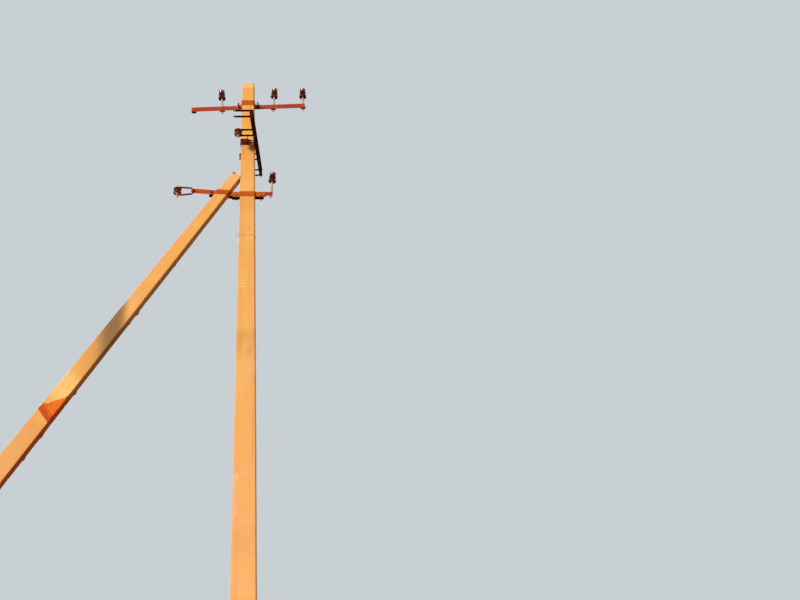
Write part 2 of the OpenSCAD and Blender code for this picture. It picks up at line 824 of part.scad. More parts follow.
// Saddle round the pole's left face, with lugs turned out on the front and back
module branch_saddle() {
    side = -pole_half(branch_z + saddle_rise - saddle_h/2) - side_gap - flat_t/2;
    face = pole_t/2 + flat_t/2;
    lug_end = pole_t/2 + flat_t + saddle_lug;
    color(dark_rust)
        difference() {
            translate([0, 0, branch_z + saddle_rise])
                linear_extrude(height = saddle_h, center = true)
                    bent_flat([[saddle_lug_x, -lug_end], [saddle_lug_x, -face], [side, -face],
                        [side, face], [saddle_lug_x, face], [saddle_lug_x, lug_end]], flat_t, bend_r);
            for (s = [-1, 1], z = saddle_bolt_zs)
                translate([saddle_lug_x - flat_t/2, s*saddle_bolt_y, z])
                    rotate([0, 90, 0]) hole(small_bolt_d, flat_t);
        }
}

// The two bolts of one side, from a lug to the inside of the branch arm's web
module saddle_bolts(s) {
    thin_washer = 1;
    start = saddle_lug_x - flat_t/2;
    grip = web_x + channel_web - start;
    color(dark_rust)
        for (z = saddle_bolt_zs)
            translate([start, s*saddle_bolt_y, z])
                rotate([0, 90, 0]) bolt(small_bolt_d, grip, small_tail, thin_washer);
}

module saddle_bolts_front() { saddle_bolts(-1); }
module saddle_bolts_rear() { saddle_bolts(1); }

// Flat strap with round ends and a hole at each end
module branch_strap() {
    difference() {
        union() {
            translate([branch_tip_x, -branch_strap_w/2, 0])
                cube([branch_strap_len, branch_strap_w, branch_strap_t]);
            for (x = [branch_tip_x, strap_bolt_x])
                translate([x, 0, 0])
                    cylinder(h = branch_strap_t, d = branch_strap_w);
        }
        translate([branch_tip_x, 0, 0]) hole(bolt_d, branch_strap_t);
        translate([strap_bolt_x, 0, 0]) hole(small_bolt_d, branch_strap_t);
    }
}

// Pair of straps, one on the upper flange and one under the lower flange
module branch_straps(y) {
    color(rust) {
        translate([0, y, branch_z + channel_h/2]) branch_strap();
        translate([0, y, branch_z - channel_h/2 - branch_strap_t]) branch_strap();
    }
}

module branch_straps_1() { branch_straps(strap_ys[0]); }
module branch_straps_2() { branch_straps(strap_ys[1]); }
module branch_straps_3() { branch_straps(strap_ys[2]); }
module branch_straps_4() { branch_straps(strap_ys[3]); }

branch_grip = channel_h + 2*branch_strap_t;

module branch_strap_bolts() {
    color(dark_rust)
        for (y = strap_ys)
            translate([strap_bolt_x, y, branch_z + branch_grip/2])
                rotate([180, 0, 0]) bolt(small_bolt_d, branch_grip, small_tail);
}

module branch_shackle_bolts() {
    color(zinc)
        for (y = [for (i = [1:3]) strap_ys[i]])
            translate([branch_tip_x, y, branch_z + branch_grip/2])
                rotate([180, 0, 0]) bolt(bolt_d, branch_grip, short_tail);
}

module branch_insulator(y) {
    color(glaze)
        translate([branch_tip_x, y, branch_z]) shackle_insulator_body();
}

module branch_insulator_2() { branch_insulator(strap_ys[1]); }
module branch_insulator_3() { branch_insulator(strap_ys[2]); }
module branch_insulator_4() { branch_insulator(strap_ys[3]); }

// Loop of wire round the main pole with an eye that stands on its left back corner
module wire_tie() {
    half = pole_half(tie_z - tie_d/2) + side_gap;
    deep = pole_t/2 + side_gap;
    eye_wire = 0.9*tie_d;
    color(zinc) {
        translate([0, 0, tie_z - tie_d/2])
            linear_extrude(height = tie_d)
                difference() {
                    square([2*half + 2*tie_d, 2*deep + 2*tie_d], center = true);
                    square([2*half, 2*deep], center = true);
                }
        translate([-half - tie_d/2, deep + tie_d/2, tie_z + tie_eye - tie_d/4])
            rotate([90, 0, 0])
                linear_extrude(height = eye_wire, center = true)
                    difference() {
                        circle(r = tie_eye + tie_d/2);
                        circle(r = tie_eye - tie_d/2);
                    }
    }
}

main_pole();
strut_pole();
top_crossarm();
top_clamp_strap();
top_clamp_bolt_left();
top_clamp_bolt_right();
neutral_bolt();
pin_left();
pin_inner_right();
pin_outer_right();
pin_insulator_left();
pin_insulator_inner_right();
pin_insulator_outer_right();
pole_clamp_strap();
pole_back_bar();
lower_arm();
lower_arm_bolt();
clamp_bolt_shared();
clamp_bolt_right();
pin_lower();
pin_insulator_lower();
strut_clamp_bar();
strut_back_bar();
strut_clamp_bolt();
end_strap();
end_strap_bolt();
end_shackle_bolt();
end_shackle_insulator();
branch_channel();
branch_saddle();
saddle_bolts_front();
saddle_bolts_rear();
branch_straps_1();
branch_straps_2();
branch_straps_3();
branch_straps_4();
branch_strap_bolts();
branch_shackle_bolts();
branch_insulator_2();
branch_insulator_3();
branch_insulator_4();
wire_tie();
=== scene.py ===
import random
from math import cos, pi, radians, sin, tan

import bmesh
import bpy
from mathutils import Matrix, Vector, noise


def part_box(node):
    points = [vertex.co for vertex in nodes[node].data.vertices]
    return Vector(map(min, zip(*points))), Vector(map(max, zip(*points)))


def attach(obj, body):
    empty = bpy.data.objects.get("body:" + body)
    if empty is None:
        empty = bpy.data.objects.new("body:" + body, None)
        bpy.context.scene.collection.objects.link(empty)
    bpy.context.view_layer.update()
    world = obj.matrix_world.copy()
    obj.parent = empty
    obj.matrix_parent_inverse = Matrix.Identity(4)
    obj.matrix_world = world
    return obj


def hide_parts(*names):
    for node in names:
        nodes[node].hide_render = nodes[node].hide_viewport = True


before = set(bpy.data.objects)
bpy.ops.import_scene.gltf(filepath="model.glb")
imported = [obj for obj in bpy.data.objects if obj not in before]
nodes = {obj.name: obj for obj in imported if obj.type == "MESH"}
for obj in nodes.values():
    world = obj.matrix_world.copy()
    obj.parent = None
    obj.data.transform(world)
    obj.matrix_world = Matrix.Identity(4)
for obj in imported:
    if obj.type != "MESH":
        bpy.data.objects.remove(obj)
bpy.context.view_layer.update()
scene = bpy.context.scene


def toLinear(hexColour):
    channels = [int(hexColour[i:i + 2], 16) / 255 for i in (1, 3, 5)]
    return (*[c / 12.92 if c < 0.04045 else ((c + 0.055) / 1.055) ** 2.4 for c in channels], 1)


def addNode(tree, kind, inputs=(), **settings):  # an input takes a value, a socket or a node
    node = tree.nodes.new(kind)
    for name, value in settings.items():
        setattr(node, name, value)
    for key, value in dict(inputs).items():
        if isinstance(value, bpy.types.Node):
            value = next(socket for socket in value.outputs if socket.enabled)
        if isinstance(value, bpy.types.NodeSocket):
            tree.links.new(value, node.inputs[key])
        else:
            node.inputs[key].default_value = value
    return node


def newMaterial(name):  # returns it, its node tree and the place on the piece
    material = bpy.data.materials.new(name)
    material.use_nodes = True
    tree = material.node_tree
    tree.nodes.clear()
    return material, tree, addNode(tree, "ShaderNodeTexCoord").outputs["Object"]


def endMaterial(tree, finish):
    shader = addNode(tree, "ShaderNodeBsdfPrincipled", finish)
    addNode(tree, "ShaderNodeOutputMaterial", {"Surface": shader})


# Camera at the viewpoint that was worked out from the edges of the two poles
camera = dict(place=(0.818, -7.88, 1.42), lens=33.75, pitch=21.465, turn=6.515, roll=4.045)
cameraData = bpy.data.cameras.new("camera")
cameraData.lens = camera["lens"]
cameraData.clip_end = 300
cameraObject = bpy.data.objects.new("camera", cameraData)
cameraObject.matrix_world = (Matrix.Translation(camera["place"])
                             @ Matrix.Rotation(radians(-camera["turn"]), 4, "Z")
                             @ Matrix.Rotation(radians(90 + camera["pitch"]), 4, "X")
                             @ Matrix.Rotation(radians(-camera["roll"]), 4, "Z"))
scene.collection.objects.link(cameraObject)
scene.camera = cameraObject
scene.view_settings.view_transform = "Standard"

studio = dict(background="#C9D0D4", ambient=0.20, floorSize=120, floorFadeStart=5, floorFadeEnd=14, floorGlow=0.5,
              floorLevel=-0.001, floorPale="#F2F4F5", floorBounce="#7A4B28",
              lamps=[dict(name="keyLight", strength=3.12, softness=9, turn=-34, height=13),
                     dict(name="fillLight", strength=0.14, softness=80, turn=50, height=35),
                     dict(name="backLight", strength=1.9, softness=100, turn=178, height=42)])
for lamp in studio["lamps"]:
    lampData = bpy.data.lights.new(lamp["name"], "SUN")
    lampData.energy = lamp["strength"]
    lampData.angle = radians(lamp["softness"])
    lampObject = bpy.data.objects.new(lamp["name"], lampData)
    lampObject.matrix_world = (Matrix.Rotation(radians(lamp["turn"]), 4, "Z")
                               @ Matrix.Rotation(radians(90 - lamp["height"]), 4, "X"))
    scene.collection.objects.link(lampObject)


def seenDirectly(tree):  # 1 for camera, mirror and see-through rays, which show the background
    ray = addNode(tree, "ShaderNodeLightPath")
    seen = addNode(tree, "ShaderNodeMath", {0: ray.outputs["Is Camera Ray"], 1: ray.outputs["Is Glossy Ray"]},
                   operation="MAXIMUM")
    return addNode(tree, "ShaderNodeMath", {0: seen, 1: ray.outputs["Is Transmission Ray"]}, operation="MAXIMUM")


world = bpy.data.worlds.new("studio")
scene.world = world
world.use_nodes = True
world.node_tree.nodes.clear()
ambientLight = addNode(world.node_tree, "ShaderNodeBackground",
                       {"Color": (1, 1, 1, 1), "Strength": studio["ambient"]})
backdropLight = addNode(world.node_tree, "ShaderNodeBackground", {"Color": toLinear(studio["background"])})
worldMix = addNode(world.node_tree, "ShaderNodeMixShader",
                   {0: seenDirectly(world.node_tree), 1: ambientLight, 2: backdropLight})
addNode(world.node_tree, "ShaderNodeOutputWorld", {"Surface": worldMix})


def makeFloor():
    material, tree, place = newMaterial("palePaperFloor")
    seen = seenDirectly(tree)
    colour = addNode(tree, "ShaderNodeMix", {0: seen, 6: toLinear(studio["floorBounce"]),
                                             7: toLinear(studio["floorPale"])}, data_type="RGBA")
    paper = addNode(tree, "ShaderNodeBsdfPrincipled", {"Base Color": colour, "Roughness": 0.9})
    distance = addNode(tree, "ShaderNodeVectorMath", {0: place}, operation="LENGTH").outputs["Value"]
    far = addNode(tree, "ShaderNodeMapRange",
                  {0: distance, 1: studio["floorFadeStart"], 2: studio["floorFadeEnd"], 3: studio["floorGlow"]})
    fade = addNode(tree, "ShaderNodeMath", {0: far, 1: seen}, operation="MULTIPLY")
    glow = addNode(tree, "ShaderNodeEmission", {"Color": toLinear(studio["background"])})
    mixed = addNode(tree, "ShaderNodeMixShader", {0: fade, 1: paper, 2: glow})
    addNode(tree, "ShaderNodeOutputMaterial", {"Surface": mixed})
    half, level = studio["floorSize"] / 2, studio["floorLevel"]
    mesh = bpy.data.meshes.new("floor")
    mesh.from_pydata([(-half, -half, level), (half, -half, level), (half, half, level), (-half, half, level)],
                     [], [(0, 1, 2, 3)])
    mesh.materials.append(material)
    floorObject = bpy.data.objects.new("floor", mesh)
    scene.collection.objects.link(floorObject)


makeFloor()
print("studio and camera ready")


def pattern(tree, place, size, detail=4, roughness=0.55, seed=0.0):  # cloudy noise; size in metres, one or three
    sizes = size if isinstance(size, tuple) else (size, size, size)
    scaled = addNode(tree, "ShaderNodeMapping",
                     {"Vector": place, "Location": (seed, 0.7 * seed, 0.3 * seed), "Scale": [1 / s for s in sizes]})
    return addNode(tree, "ShaderNodeTexNoise",
                   {"Vector": scaled, "Scale": 1.0, "Detail": detail, "Roughness": roughness})


def layered(tree, base, layers):  # a layer: colour, mask or masks, most of it that shows, the mask's low and high
    colour = toLinear(base)
    for hexColour, masks, most, *reach in layers:
        mask, *others = masks if isinstance(masks, tuple) else (masks,)
        for other in others:
            mask = addNode(tree, "ShaderNodeMath", {0: mask, 1: other}, operation="MULTIPLY")
        low, high = reach or (0.0, 1.0)
        amount = addNode(tree, "ShaderNodeMapRange", {0: mask, 1: low, 2: high, 4: most},
                         interpolation_type="SMOOTHSTEP")
        colour = addNode(tree, "ShaderNodeMix", {0: amount, 6: colour, 7: toLinear(hexColour)}, data_type="RGBA")
    return colour


def bandMask(tree, along, start, end, fadeIn, fadeOut):  # 1 between start and end, fading before and after
    rise = addNode(tree, "ShaderNodeMapRange", {0: along, 1: start - fadeIn, 2: start},
                   interpolation_type="SMOOTHSTEP")
    fall = addNode(tree, "ShaderNodeMapRange", {0: along, 1: end, 2: end + fadeOut, 3: 1.0, 4: 0.0},
                   interpolation_type="SMOOTHSTEP")
    return addNode(tree, "ShaderNodeMath", {0: rise, 1: fall}, operation="MULTIPLY")


# The two cast poles: the strut's right edge meets the main pole's left face at the seat, and its head goes on above
# that point, cut to lie flat on the face. Spurs of leaked cement are (distance down, arris, reach, stand), and the
# arrises count from the left front one towards the right.
mainPole = dict(name="cast_main_pole", topWidth=0.145, thickness=0.090, taper=0.0181, length=7.5, head=-0.002,
                chamfer=0.009, step=0.012, seed=3, holes=900, chipStart=0.30, chipDepth=0.016,
                spurs=[(7.1, 1, 0.05, 0.003)])
strutPole = dict(name="cast_strut_pole", topWidth=0.124, thickness=0.100, taper=0.0181, length=7.8, head=0.030,
                 chamfer=0.009, step=0.012, seed=8, holes=700, chipStart=0.34, chipDepth=0.013, lean=34.1,
                 seat=6.130, seatPlay=0.0003,
                 spurs=[(0.97, 2, 0.016, 0.004), (1.29, 2, 0.022, 0.006), (1.98, 2, 0.030, 0.013),
                        (2.12, 2, 0.022, 0.008), (3.03, 2, 0.026, 0.014), (3.55, 2, 0.040, 0.009),
                        (3.82, 2, 0.030, 0.008), (4.60, 2, 0.050, 0.008), (5.30, 1, 0.060, 0.007)])
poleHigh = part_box("main_pole")[1].z
strutLow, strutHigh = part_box("strut_pole")
lean = radians(strutPole["lean"])
seatX = -(mainPole["topWidth"] + (poleHigh - strutPole["seat"]) * mainPole["taper"]) / 2 - strutPole["seatPlay"]
strutHead = Vector((seatX - strutPole["topWidth"] / 2 * cos(lean), (strutLow.y + strutHigh.y) / 2,
                    strutPole["seat"] + strutPole["topWidth"] / 2 * sin(lean)))
strutFrame = Matrix.Translation(strutHead) @ Matrix.Rotation(lean, 4, "Y")

# Frame of the tilted top arm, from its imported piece
topArm = dict(tilt=2.4, leg=0.060, thickness=0.006, leftPin=-0.328, innerPin=0.303, innerLean=6.5, outerLean=2,
              outerEdge=0.022, length=1.390)
armLow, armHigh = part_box("top_crossarm")
armFrame = (Matrix.Translation(((armLow.x + armHigh.x) / 2, armLow.y, (armLow.z + armHigh.z) / 2))
            @ Matrix.Rotation(radians(-topArm["tilt"]), 4, "Y"))

# Cast prestressed concrete: buff cement skin with board streaks, pale bloom, fine grit and air holes, matt
# Among the mark colours are a painted shadow colour and a painted shade for the strut's lower side; the pale glow
# colour marks pale lines and also a painted patch of sunlight
concrete = dict(buff="#F3B05A", pale="#F8C47C", tan="#DC9A50", pink="#F4A569", grit="#C2904F", air="#7A5833",
                broken="#D8AE74", rust="#BC480C", orange="#F07208", paintedShadow="#6F5A3F", glow="#FFD07E",
                gold="#EBA43F", rose="#FFB87E", low="#E69C55", lowerSideShade="#A66A1C", scar="#FBC297", moss="#CC9448",
                crack="#6E4422", wash="#C94A14", cloudSize=0.45, streakSize=(0.016, 0.016, 1.1),
                boardSize=(0.045, 0.045, 4.0), gritSize=0.004, airSize=0.016, airPatch=0.11, roughness=0.88,
                gloss=0.3, bump=0.22)


def concreteFinish(name, placing, marks):
    material, tree, place = newMaterial(name)
    if placing is not None:
        place = addNode(tree, "ShaderNodeMapping", {"Vector": place, "Location": placing.to_translation(),
                                                    "Rotation": placing.to_euler()}).outputs[0]
    clouds = pattern(tree, place, concrete["cloudSize"], 3)
    streaks = pattern(tree, place, concrete["streakSize"], 3, 0.6, 3.1)
    boards = pattern(tree, place, concrete["boardSize"], 1, 0.4, 7.7)
    grit = pattern(tree, place, concrete["gritSize"], 2, 0.7, 1.3)
    cells = addNode(tree, "ShaderNodeTexVoronoi", {"Vector": place, "Scale": 1 / concrete["airSize"],
                                                   "Randomness": 1.0})
    airHoles = addNode(tree, "ShaderNodeMapRange", {0: cells.outputs["Distance"], 1: 0.06, 2: 0.14, 3: 1.0, 4: 0.0})
    sparse = addNode(tree, "ShaderNodeMapRange",
                     {0: pattern(tree, place, concrete["airPatch"], 2, 0.5, 9.2), 1: 0.55, 2: 0.7})
    airHoles = addNode(tree, "ShaderNodeMath", {0: airHoles, 1: sparse}, operation="MULTIPLY")
    worn = addNode(tree, "ShaderNodeAttribute", attribute_name="worn").outputs["Fac"]
    axes = addNode(tree, "ShaderNodeSeparateXYZ", {0: place})
    colour = layered(tree, concrete["buff"], [
        (concrete["pale"], clouds, 0.6, 0.46, 0.68), (concrete["pink"], boards, 0.55, 0.52, 0.66),
        (concrete["tan"], streaks, 0.7, 0.52, 0.78), (concrete["grit"], grit, 0.25, 0.58, 0.78),
        (concrete["air"], airHoles, 0.8, 0.2, 1.0), (concrete["broken"], worn, 0.8, 0.1, 0.7),
        *marks(tree, place, axes.outputs)])
    relief = addNode(tree, "ShaderNodeMath", {0: grit, 1: airHoles}, operation="SUBTRACT")
    bump = addNode(tree, "ShaderNodeBump", {"Height": relief, "Strength": concrete["bump"], "Distance": 0.002})
    endMaterial(tree, {"Base Color": colour, "Roughness": concrete["roughness"],
                       "Specular IOR Level": concrete["gloss"], "Normal": bump})
    return material


# Marks down the main pole: a yellower top with a bright rim, a rosier foot, rust washed from each fitting, casting
# lines, a mossy patch, a crack, pale scars on the left arris and a darker band low down. A band is its start, its end
# and its fade at each, in height or across.
poleMarks = dict(gold=(5.4, 7.3), rose=(5.0, 2.2), rim=(7.44, 9.0, 0.03, 0.01), runLength=0.5, runStrength=0.28,
                 fittings=["top_clamp_strap", "branch_saddle", "pole_clamp_strap"],
                 castLines=[4.735, 4.767, 4.803], lineWidth=0.006, lineFade=0.004,
                 lineAcross=(-1.0, -0.02, 0.01, 0.05),
                 moss=(4.02, 4.20, 0.25, 0.10), band=(2.05, 2.13, 0.5, 0.12),
                 crackTall=(2.80, 3.35, 0.05, 0.05), crackAcross=(0.090, 0.093, 0.002, 0.002), crackWander=0.012,
                 scars=[(2.60, 2.66, 0.8), (2.28, 2.34, 0.7), (2.36, 2.58, 0.3)], scarFade=0.06,
                 scarAcross=(-0.104, -0.070, 0.012, 0.015))


def markMainPole(tree, place, axes):
    across, height = axes["X"], axes["Z"]
    drips = pattern(tree, place, (0.012, 0.012, 0.6), 3, 0.65, 5.5)
    mottle = pattern(tree, place, (0.05, 0.05, 0.09), 4, 0.6, 6.3)
    rough = pattern(tree, place, (0.03, 0.03, 0.08), 3)
    layers = [(concrete["gold"], height, 0.40, *poleMarks["gold"]),
              (concrete["rose"], height, 0.28, *poleMarks["rose"]),
              (concrete["glow"], bandMask(tree, height, *poleMarks["rim"]), 0.6)]
    for fitting in poleMarks["fittings"]:
        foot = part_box(fitting)[0].z
        below = bandMask(tree, height, foot - 0.02, foot, poleMarks["runLength"], 0.001)
        layers.append((concrete["rust"], (below, drips), poleMarks["runStrength"], 0.28, 0.75))
    left, fade = bandMask(tree, across, *poleMarks["lineAcross"]), poleMarks["lineFade"]
    for level in poleMarks["castLines"]:
        line = bandMask(tree, height, level, level + poleMarks["lineWidth"], fade, fade)
        layers.append((concrete["glow"], (line, left), 0.75, 0.1, 0.9))
    wander = addNode(tree, "ShaderNodeMath", {0: mottle, 1: poleMarks["crackWander"], 2: across},
                     operation="MULTIPLY_ADD")
    crack = bandMask(tree, height, *poleMarks["crackTall"]), bandMask(tree, wander, *poleMarks["crackAcross"])
    layers += [(concrete["moss"], (bandMask(tree, height, *poleMarks["moss"]), mottle), 0.5, 0.2, 0.65),
               (concrete["tan"], (bandMask(tree, height, *poleMarks["band"]), mottle), 0.28, 0.25, 0.65),
               (concrete["crack"], crack, 0.4)]
    wide, fade = bandMask(tree, across, *poleMarks["scarAcross"]), poleMarks["scarFade"]
    for low, high, most in poleMarks["scars"]:
        tall = bandMask(tree, height, low, high, fade, fade)
        layers.append((concrete["scar"], (tall, wide, rough), most, 0.25, 0.6))
    return layers


# Marks on the strut: a painted cast shadow that slants over it in a tan fringe of painted shade, a painted patch of
# sunlight, a rust stain with a ragged upper edge, a deeper foot and a straight cut below, duller concrete under that,
# a lower side painted darker as shade that the rust has washed, and a chip on the head. A band is its slope over the
# face, its unevenness, its start and end down from the seat, and its fade at each.
strutMarks = dict(bands=dict(paintedShadow=(-1.5, 0.05, 2.265, 2.275, 0.34, 0.476), paintedShadeFringe=(-1.5, 0.05, 2.24, 2.62, 0.3, 0.35),
                             glow=(-0.5, 0.16, 3.06, 3.20, 0.18, 0.16), rust=(1.2, 0.12, 3.27, 99.0, 0.025, 0.01),
                             deep=(-0.55, 0.14, 3.438, 99.0, 0.13, 0.01), low=(0.0, 0.0, 3.528, 99.0, 0.15, 0.01)),
                  cutSlope=-0.36, cutStart=3.378, cutEnd=3.386, washStart=2.3, washEnd=3.6, widening=0.00905,
                  side=(0.057, 9.0, 0.003, 0.01), chipDown=(-9.0, -0.016, 0.01, 0.012),
                  chipAcross=(-0.055, -0.018, 0.008, 0.008))


def markStrut(tree, place, axes):
    across = axes["X"]
    down = addNode(tree, "ShaderNodeMath", {0: axes["Z"], 1: -1.0}, operation="MULTIPLY")
    uneven = pattern(tree, place, (0.04, 0.04, 0.06), 4, 0.6, 2.2)
    masks = {}
    for name, (slope, unevenness, *band) in strutMarks["bands"].items():
        slanted = addNode(tree, "ShaderNodeMath", {0: across, 1: slope, 2: down}, operation="MULTIPLY_ADD")
        along = addNode(tree, "ShaderNodeMath", {0: uneven, 1: unevenness, 2: slanted}, operation="MULTIPLY_ADD")
        masks[name] = bandMask(tree, along, *band)
    slanted = addNode(tree, "ShaderNodeMath", {0: across, 1: strutMarks["cutSlope"], 2: down},
                      operation="MULTIPLY_ADD")
    cut = addNode(tree, "ShaderNodeMapRange", {0: slanted, 1: strutMarks["cutStart"], 2: strutMarks["cutEnd"], 3: 1.0,
                                               4: 0.0})
    rust, deep = (masks["rust"], cut), (masks["deep"], cut)
    rim = addNode(tree, "ShaderNodeMath", {0: down, 1: -strutMarks["widening"], 2: across}, operation="MULTIPLY_ADD")
    # The lower side strip is painted darker as shade, and redder towards the foot where the rust has washed
    side = bandMask(tree, rim, *strutMarks["side"])
    washed = addNode(tree, "ShaderNodeMapRange", {0: down, 1: strutMarks["washStart"], 2: strutMarks["washEnd"]})
    chip = bandMask(tree, down, *strutMarks["chipDown"]), bandMask(tree, across, *strutMarks["chipAcross"])
    # In the list below, the dark slanting layer is a painted cast shadow and the tan layer round it a painted fringe
    # of shade
    return [(concrete["low"], masks["low"], 0.5), (concrete["tan"], masks["paintedShadeFringe"], 0.55),
            # The pale glow band on the next line is a painted patch of sunlight
            (concrete["glow"], masks["glow"], 0.7), (concrete["orange"], rust, 0.96),
            (concrete["rust"], (*rust, *deep), 0.85), (concrete["rust"], (*rust, uneven), 0.45, 0.50, 0.62),
            (concrete["paintedShadow"], masks["paintedShadow"], 0.78), (concrete["lowerSideShade"], side, 0.55),
            (concrete["wash"], (side, washed), 0.7), (concrete["crack"], chip, 0.7)]


mainConcrete = concreteFinish("castConcreteMainPole", None, markMainPole)
strutConcrete = concreteFinish("castConcreteStrut", strutFrame.inverted(), markStrut)

# Mild steel under old red oxide primer, rusted through: orange bloom over maroon paint, matt and scaly
oxideSteel = dict(bodyTone="#AC3D26", bloom="#C25424", deep="#7A2820", pale="#CC7A55", bloomSize=0.05, deepSize=0.11,
                  fleckSize=0.009, roughness=0.85, gloss=0.12)


def steelFinish(name, **changes):
    material, tree, place = newMaterial(name)
    tones = dict(oxideSteel, **changes)
    bloom = pattern(tree, place, tones["bloomSize"], 5, 0.65)
    deep = pattern(tree, place, tones["deepSize"], 4, 0.6, 4.4)
    fleck = pattern(tree, place, tones["fleckSize"], 3, 0.7, 8.1)
    colour = layered(tree, tones["bodyTone"], [(tones["bloom"], bloom, 0.8, 0.45, 0.65),
                                               (tones["deep"], deep, 0.75, 0.5, 0.72),
                                               (tones["pale"], fleck, 0.45, 0.6, 0.75)])
    bump = addNode(tree, "ShaderNodeBump", {"Height": fleck, "Strength": 0.5, "Distance": 0.0015})
    endMaterial(tree, {"Base Color": colour, "Roughness": tones["roughness"], "Specular IOR Level": tones["gloss"],
                       "Normal": bump})
    return material


oxide = steelFinish("redOxideRustedSteel")
orangeBar = steelFinish("orangeRustedBarSteel", bodyTone="#BA4A18", bloom="#C65C1C", deep="#983616", pale="#D07C40")
orangeRust = steelFinish("orangeRustedFlatSteel", bodyTone="#BC5A12", bloom="#CA701E", deep="#A8461A")
darkPaint = steelFinish("oldMaroonPaintedSteel", bodyTone="#3C130C", bloom="#5A2114", deep="#1C0805",
                        pale="#7E4434", roughness=0.7, gloss=0.03)
# The saddle's pale pink flecks are painted glints
saddlePaint = steelFinish("maroonPaintedSteelWithGlintFlecks", bodyTone="#5C0E04", bloom="#7E2A16", deep="#380602",
                          pale="#B4735A", bloomSize=0.02, roughness=0.7, gloss=0.04)
boltGrain = dict(bloomSize=0.02, deepSize=0.03, fleckSize=0.004)
boltRust = steelFinish("brownRustedBoltSteel", bodyTone="#64281A", bloom="#94452A", deep="#35130F", **boltGrain)
boltOrange = steelFinish("orangeRustedBoltSteel", bodyTone="#C4602A", bloom="#E08A4A", deep="#7A2F1A", **boltGrain)

# Hot-dip galvanised forged steel, dulled to warm grey with rust freckles
zincSteel = dict(dull="#C09A7C", bright="#D6B494", stain="#A2744F", spangle=0.012, stainSize=0.03, metallic=0.1,
                 roughness=0.5)


def zincFinish():
    material, tree, place = newMaterial("galvanisedForgedSteel")
    spangle = pattern(tree, place, zincSteel["spangle"], 2)
    stain = pattern(tree, place, zincSteel["stainSize"], 5, 0.65, 6.0)
    colour = layered(tree, zincSteel["dull"], [(zincSteel["bright"], spangle, 1.0, 0.4, 0.6),
                                               (zincSteel["stain"], stain, 0.7, 0.55, 0.72)])
    bump = addNode(tree, "ShaderNodeBump", {"Height": stain, "Strength": 0.3, "Distance": 0.001})
    endMaterial(tree, {"Base Color": colour, "Metallic": zincSteel["metallic"], "Roughness": zincSteel["roughness"],
                       "Normal": bump})
    return material


zinc = zincFinish()

# Brown glazed porcelain: a body that shows sandy where the glaze stops, dusty on the crown, and on the flank under the
# head a painted orange glow and a glassier coat, where the sun's highlight makes the bright spot on the head; the
# spools have a redder glaze
porcelain = dict(glaze="#380802", thin="#6C2408", spool="#521606", spoolThin="#A84A16", dust="#A8683A",
                 flare="#A04A1C", bisque="#C9A98A", runSize=(0.02, 0.02, 0.05), dustSize=0.02, roughness=0.3,
                 gloss=0.12, sheen="#FFA080", coat=0.7, coatRoughness=0.18, coatIndex=1.7,
                 flared=(-0.32, -0.16, 0.08, 0.04), bisqueRoughness=0.8)


def glazeFinish(name, full, thin):
    material, tree, place = newMaterial(name)
    runs = pattern(tree, place, porcelain["runSize"], 3)
    facing = addNode(tree, "ShaderNodeSeparateXYZ", {0: addNode(tree, "ShaderNodeNewGeometry").outputs["Normal"]})
    dusty = addNode(tree, "ShaderNodeMath", {0: pattern(tree, place, porcelain["dustSize"], 4, 0.6, 2.7), 1: 0.6,
                                             2: facing.outputs["Z"]}, operation="MULTIPLY_ADD")
    flared = bandMask(tree, facing.outputs["Z"], *porcelain["flared"])
    coat = addNode(tree, "ShaderNodeMath", {0: flared, 1: porcelain["coat"]}, operation="MULTIPLY")
    # The flank under the head is painted an orange glow where the sun's highlight falls, and its coat is glassier
    # there
    colour = layered(tree, full, [(thin, runs, 0.6, 0.5, 0.75), (porcelain["flare"], flared, 0.5),
                                  (porcelain["dust"], dusty, 0.8, 0.5, 1.0)])
    endMaterial(tree, {"Base Color": colour, "Roughness": porcelain["roughness"],
                       "Specular IOR Level": porcelain["gloss"], "Specular Tint": toLinear(porcelain["sheen"]),
                       "Coat Weight": coat, "Coat Roughness": porcelain["coatRoughness"],
                       "Coat IOR": porcelain["coatIndex"]})
    return material


def bisqueFinish():
    material, tree, place = newMaterial("unglazedPorcelainRim")
    specks = pattern(tree, place, 0.01)
    colour = layered(tree, porcelain["bisque"], [(porcelain["thin"], specks, 0.6, 0.5, 0.8)])
    endMaterial(tree, {"Base Color": colour, "Roughness": porcelain["bisqueRoughness"]})
    return material


glaze = glazeFinish("brownGlazedPorcelain", porcelain["glaze"], porcelain["thin"])
redGlaze = glazeFinish("redBrownGlazedPorcelain", porcelain["spool"], porcelain["spoolThin"])
bisque = bisqueFinish()
print("materials ready")


def newShape():  # gathers closed forms into one mesh
    return dict(points=[], faces=[], finishes=[])


def addRows(shape, rows, finish=0, joined=False):  # rows of points round an axis, a row of one point is a tip
    starts = []
    for row in rows:
        starts.append((len(shape["points"]), len(row)))
        shape["points"] += [tuple(point) for point in row]
    faces = []
    for (a, na), (b, nb) in zip(starts, starts[1:] + (starts[:1] if joined else [])):
        for k in range(max(len(row) for row in rows)):
            faces.append(list(dict.fromkeys([a + k % na, a + (k + 1) % na, b + (k + 1) % nb, b + k % nb])))
    for (start, n), flip in ((starts[0], -1), (starts[-1], 1)):
        if n > 1 and not joined:
            faces.append(list(range(start, start + n))[::flip])
    shape["faces"] += faces
    shape["finishes"] += [finish] * len(faces)


def ring(radius, height, segments, place):
    if radius < 1e-6:
        return [place @ Vector((0, 0, height))]
    return [place @ Vector((radius * cos(2 * pi * k / segments), radius * sin(2 * pi * k / segments), height))
            for k in range(segments)]


def addTurned(shape, profile, place, segments=32, joined=False):  # profile of (radius, height), foot to top
    addRows(shape, [ring(r, z, segments, place) for r, z in profile], joined=joined)


def addTube(shape, inner, outer, low, high, place):
    edge = 0.0004
    addTurned(shape, [(inner, low), (outer - edge, low), (outer, low + edge), (outer, high - edge),
                      (outer - edge, high), (inner, high)], place, joined=True)


hexagon = dict(segments=48, face=0.94, chamfer=radians(30))


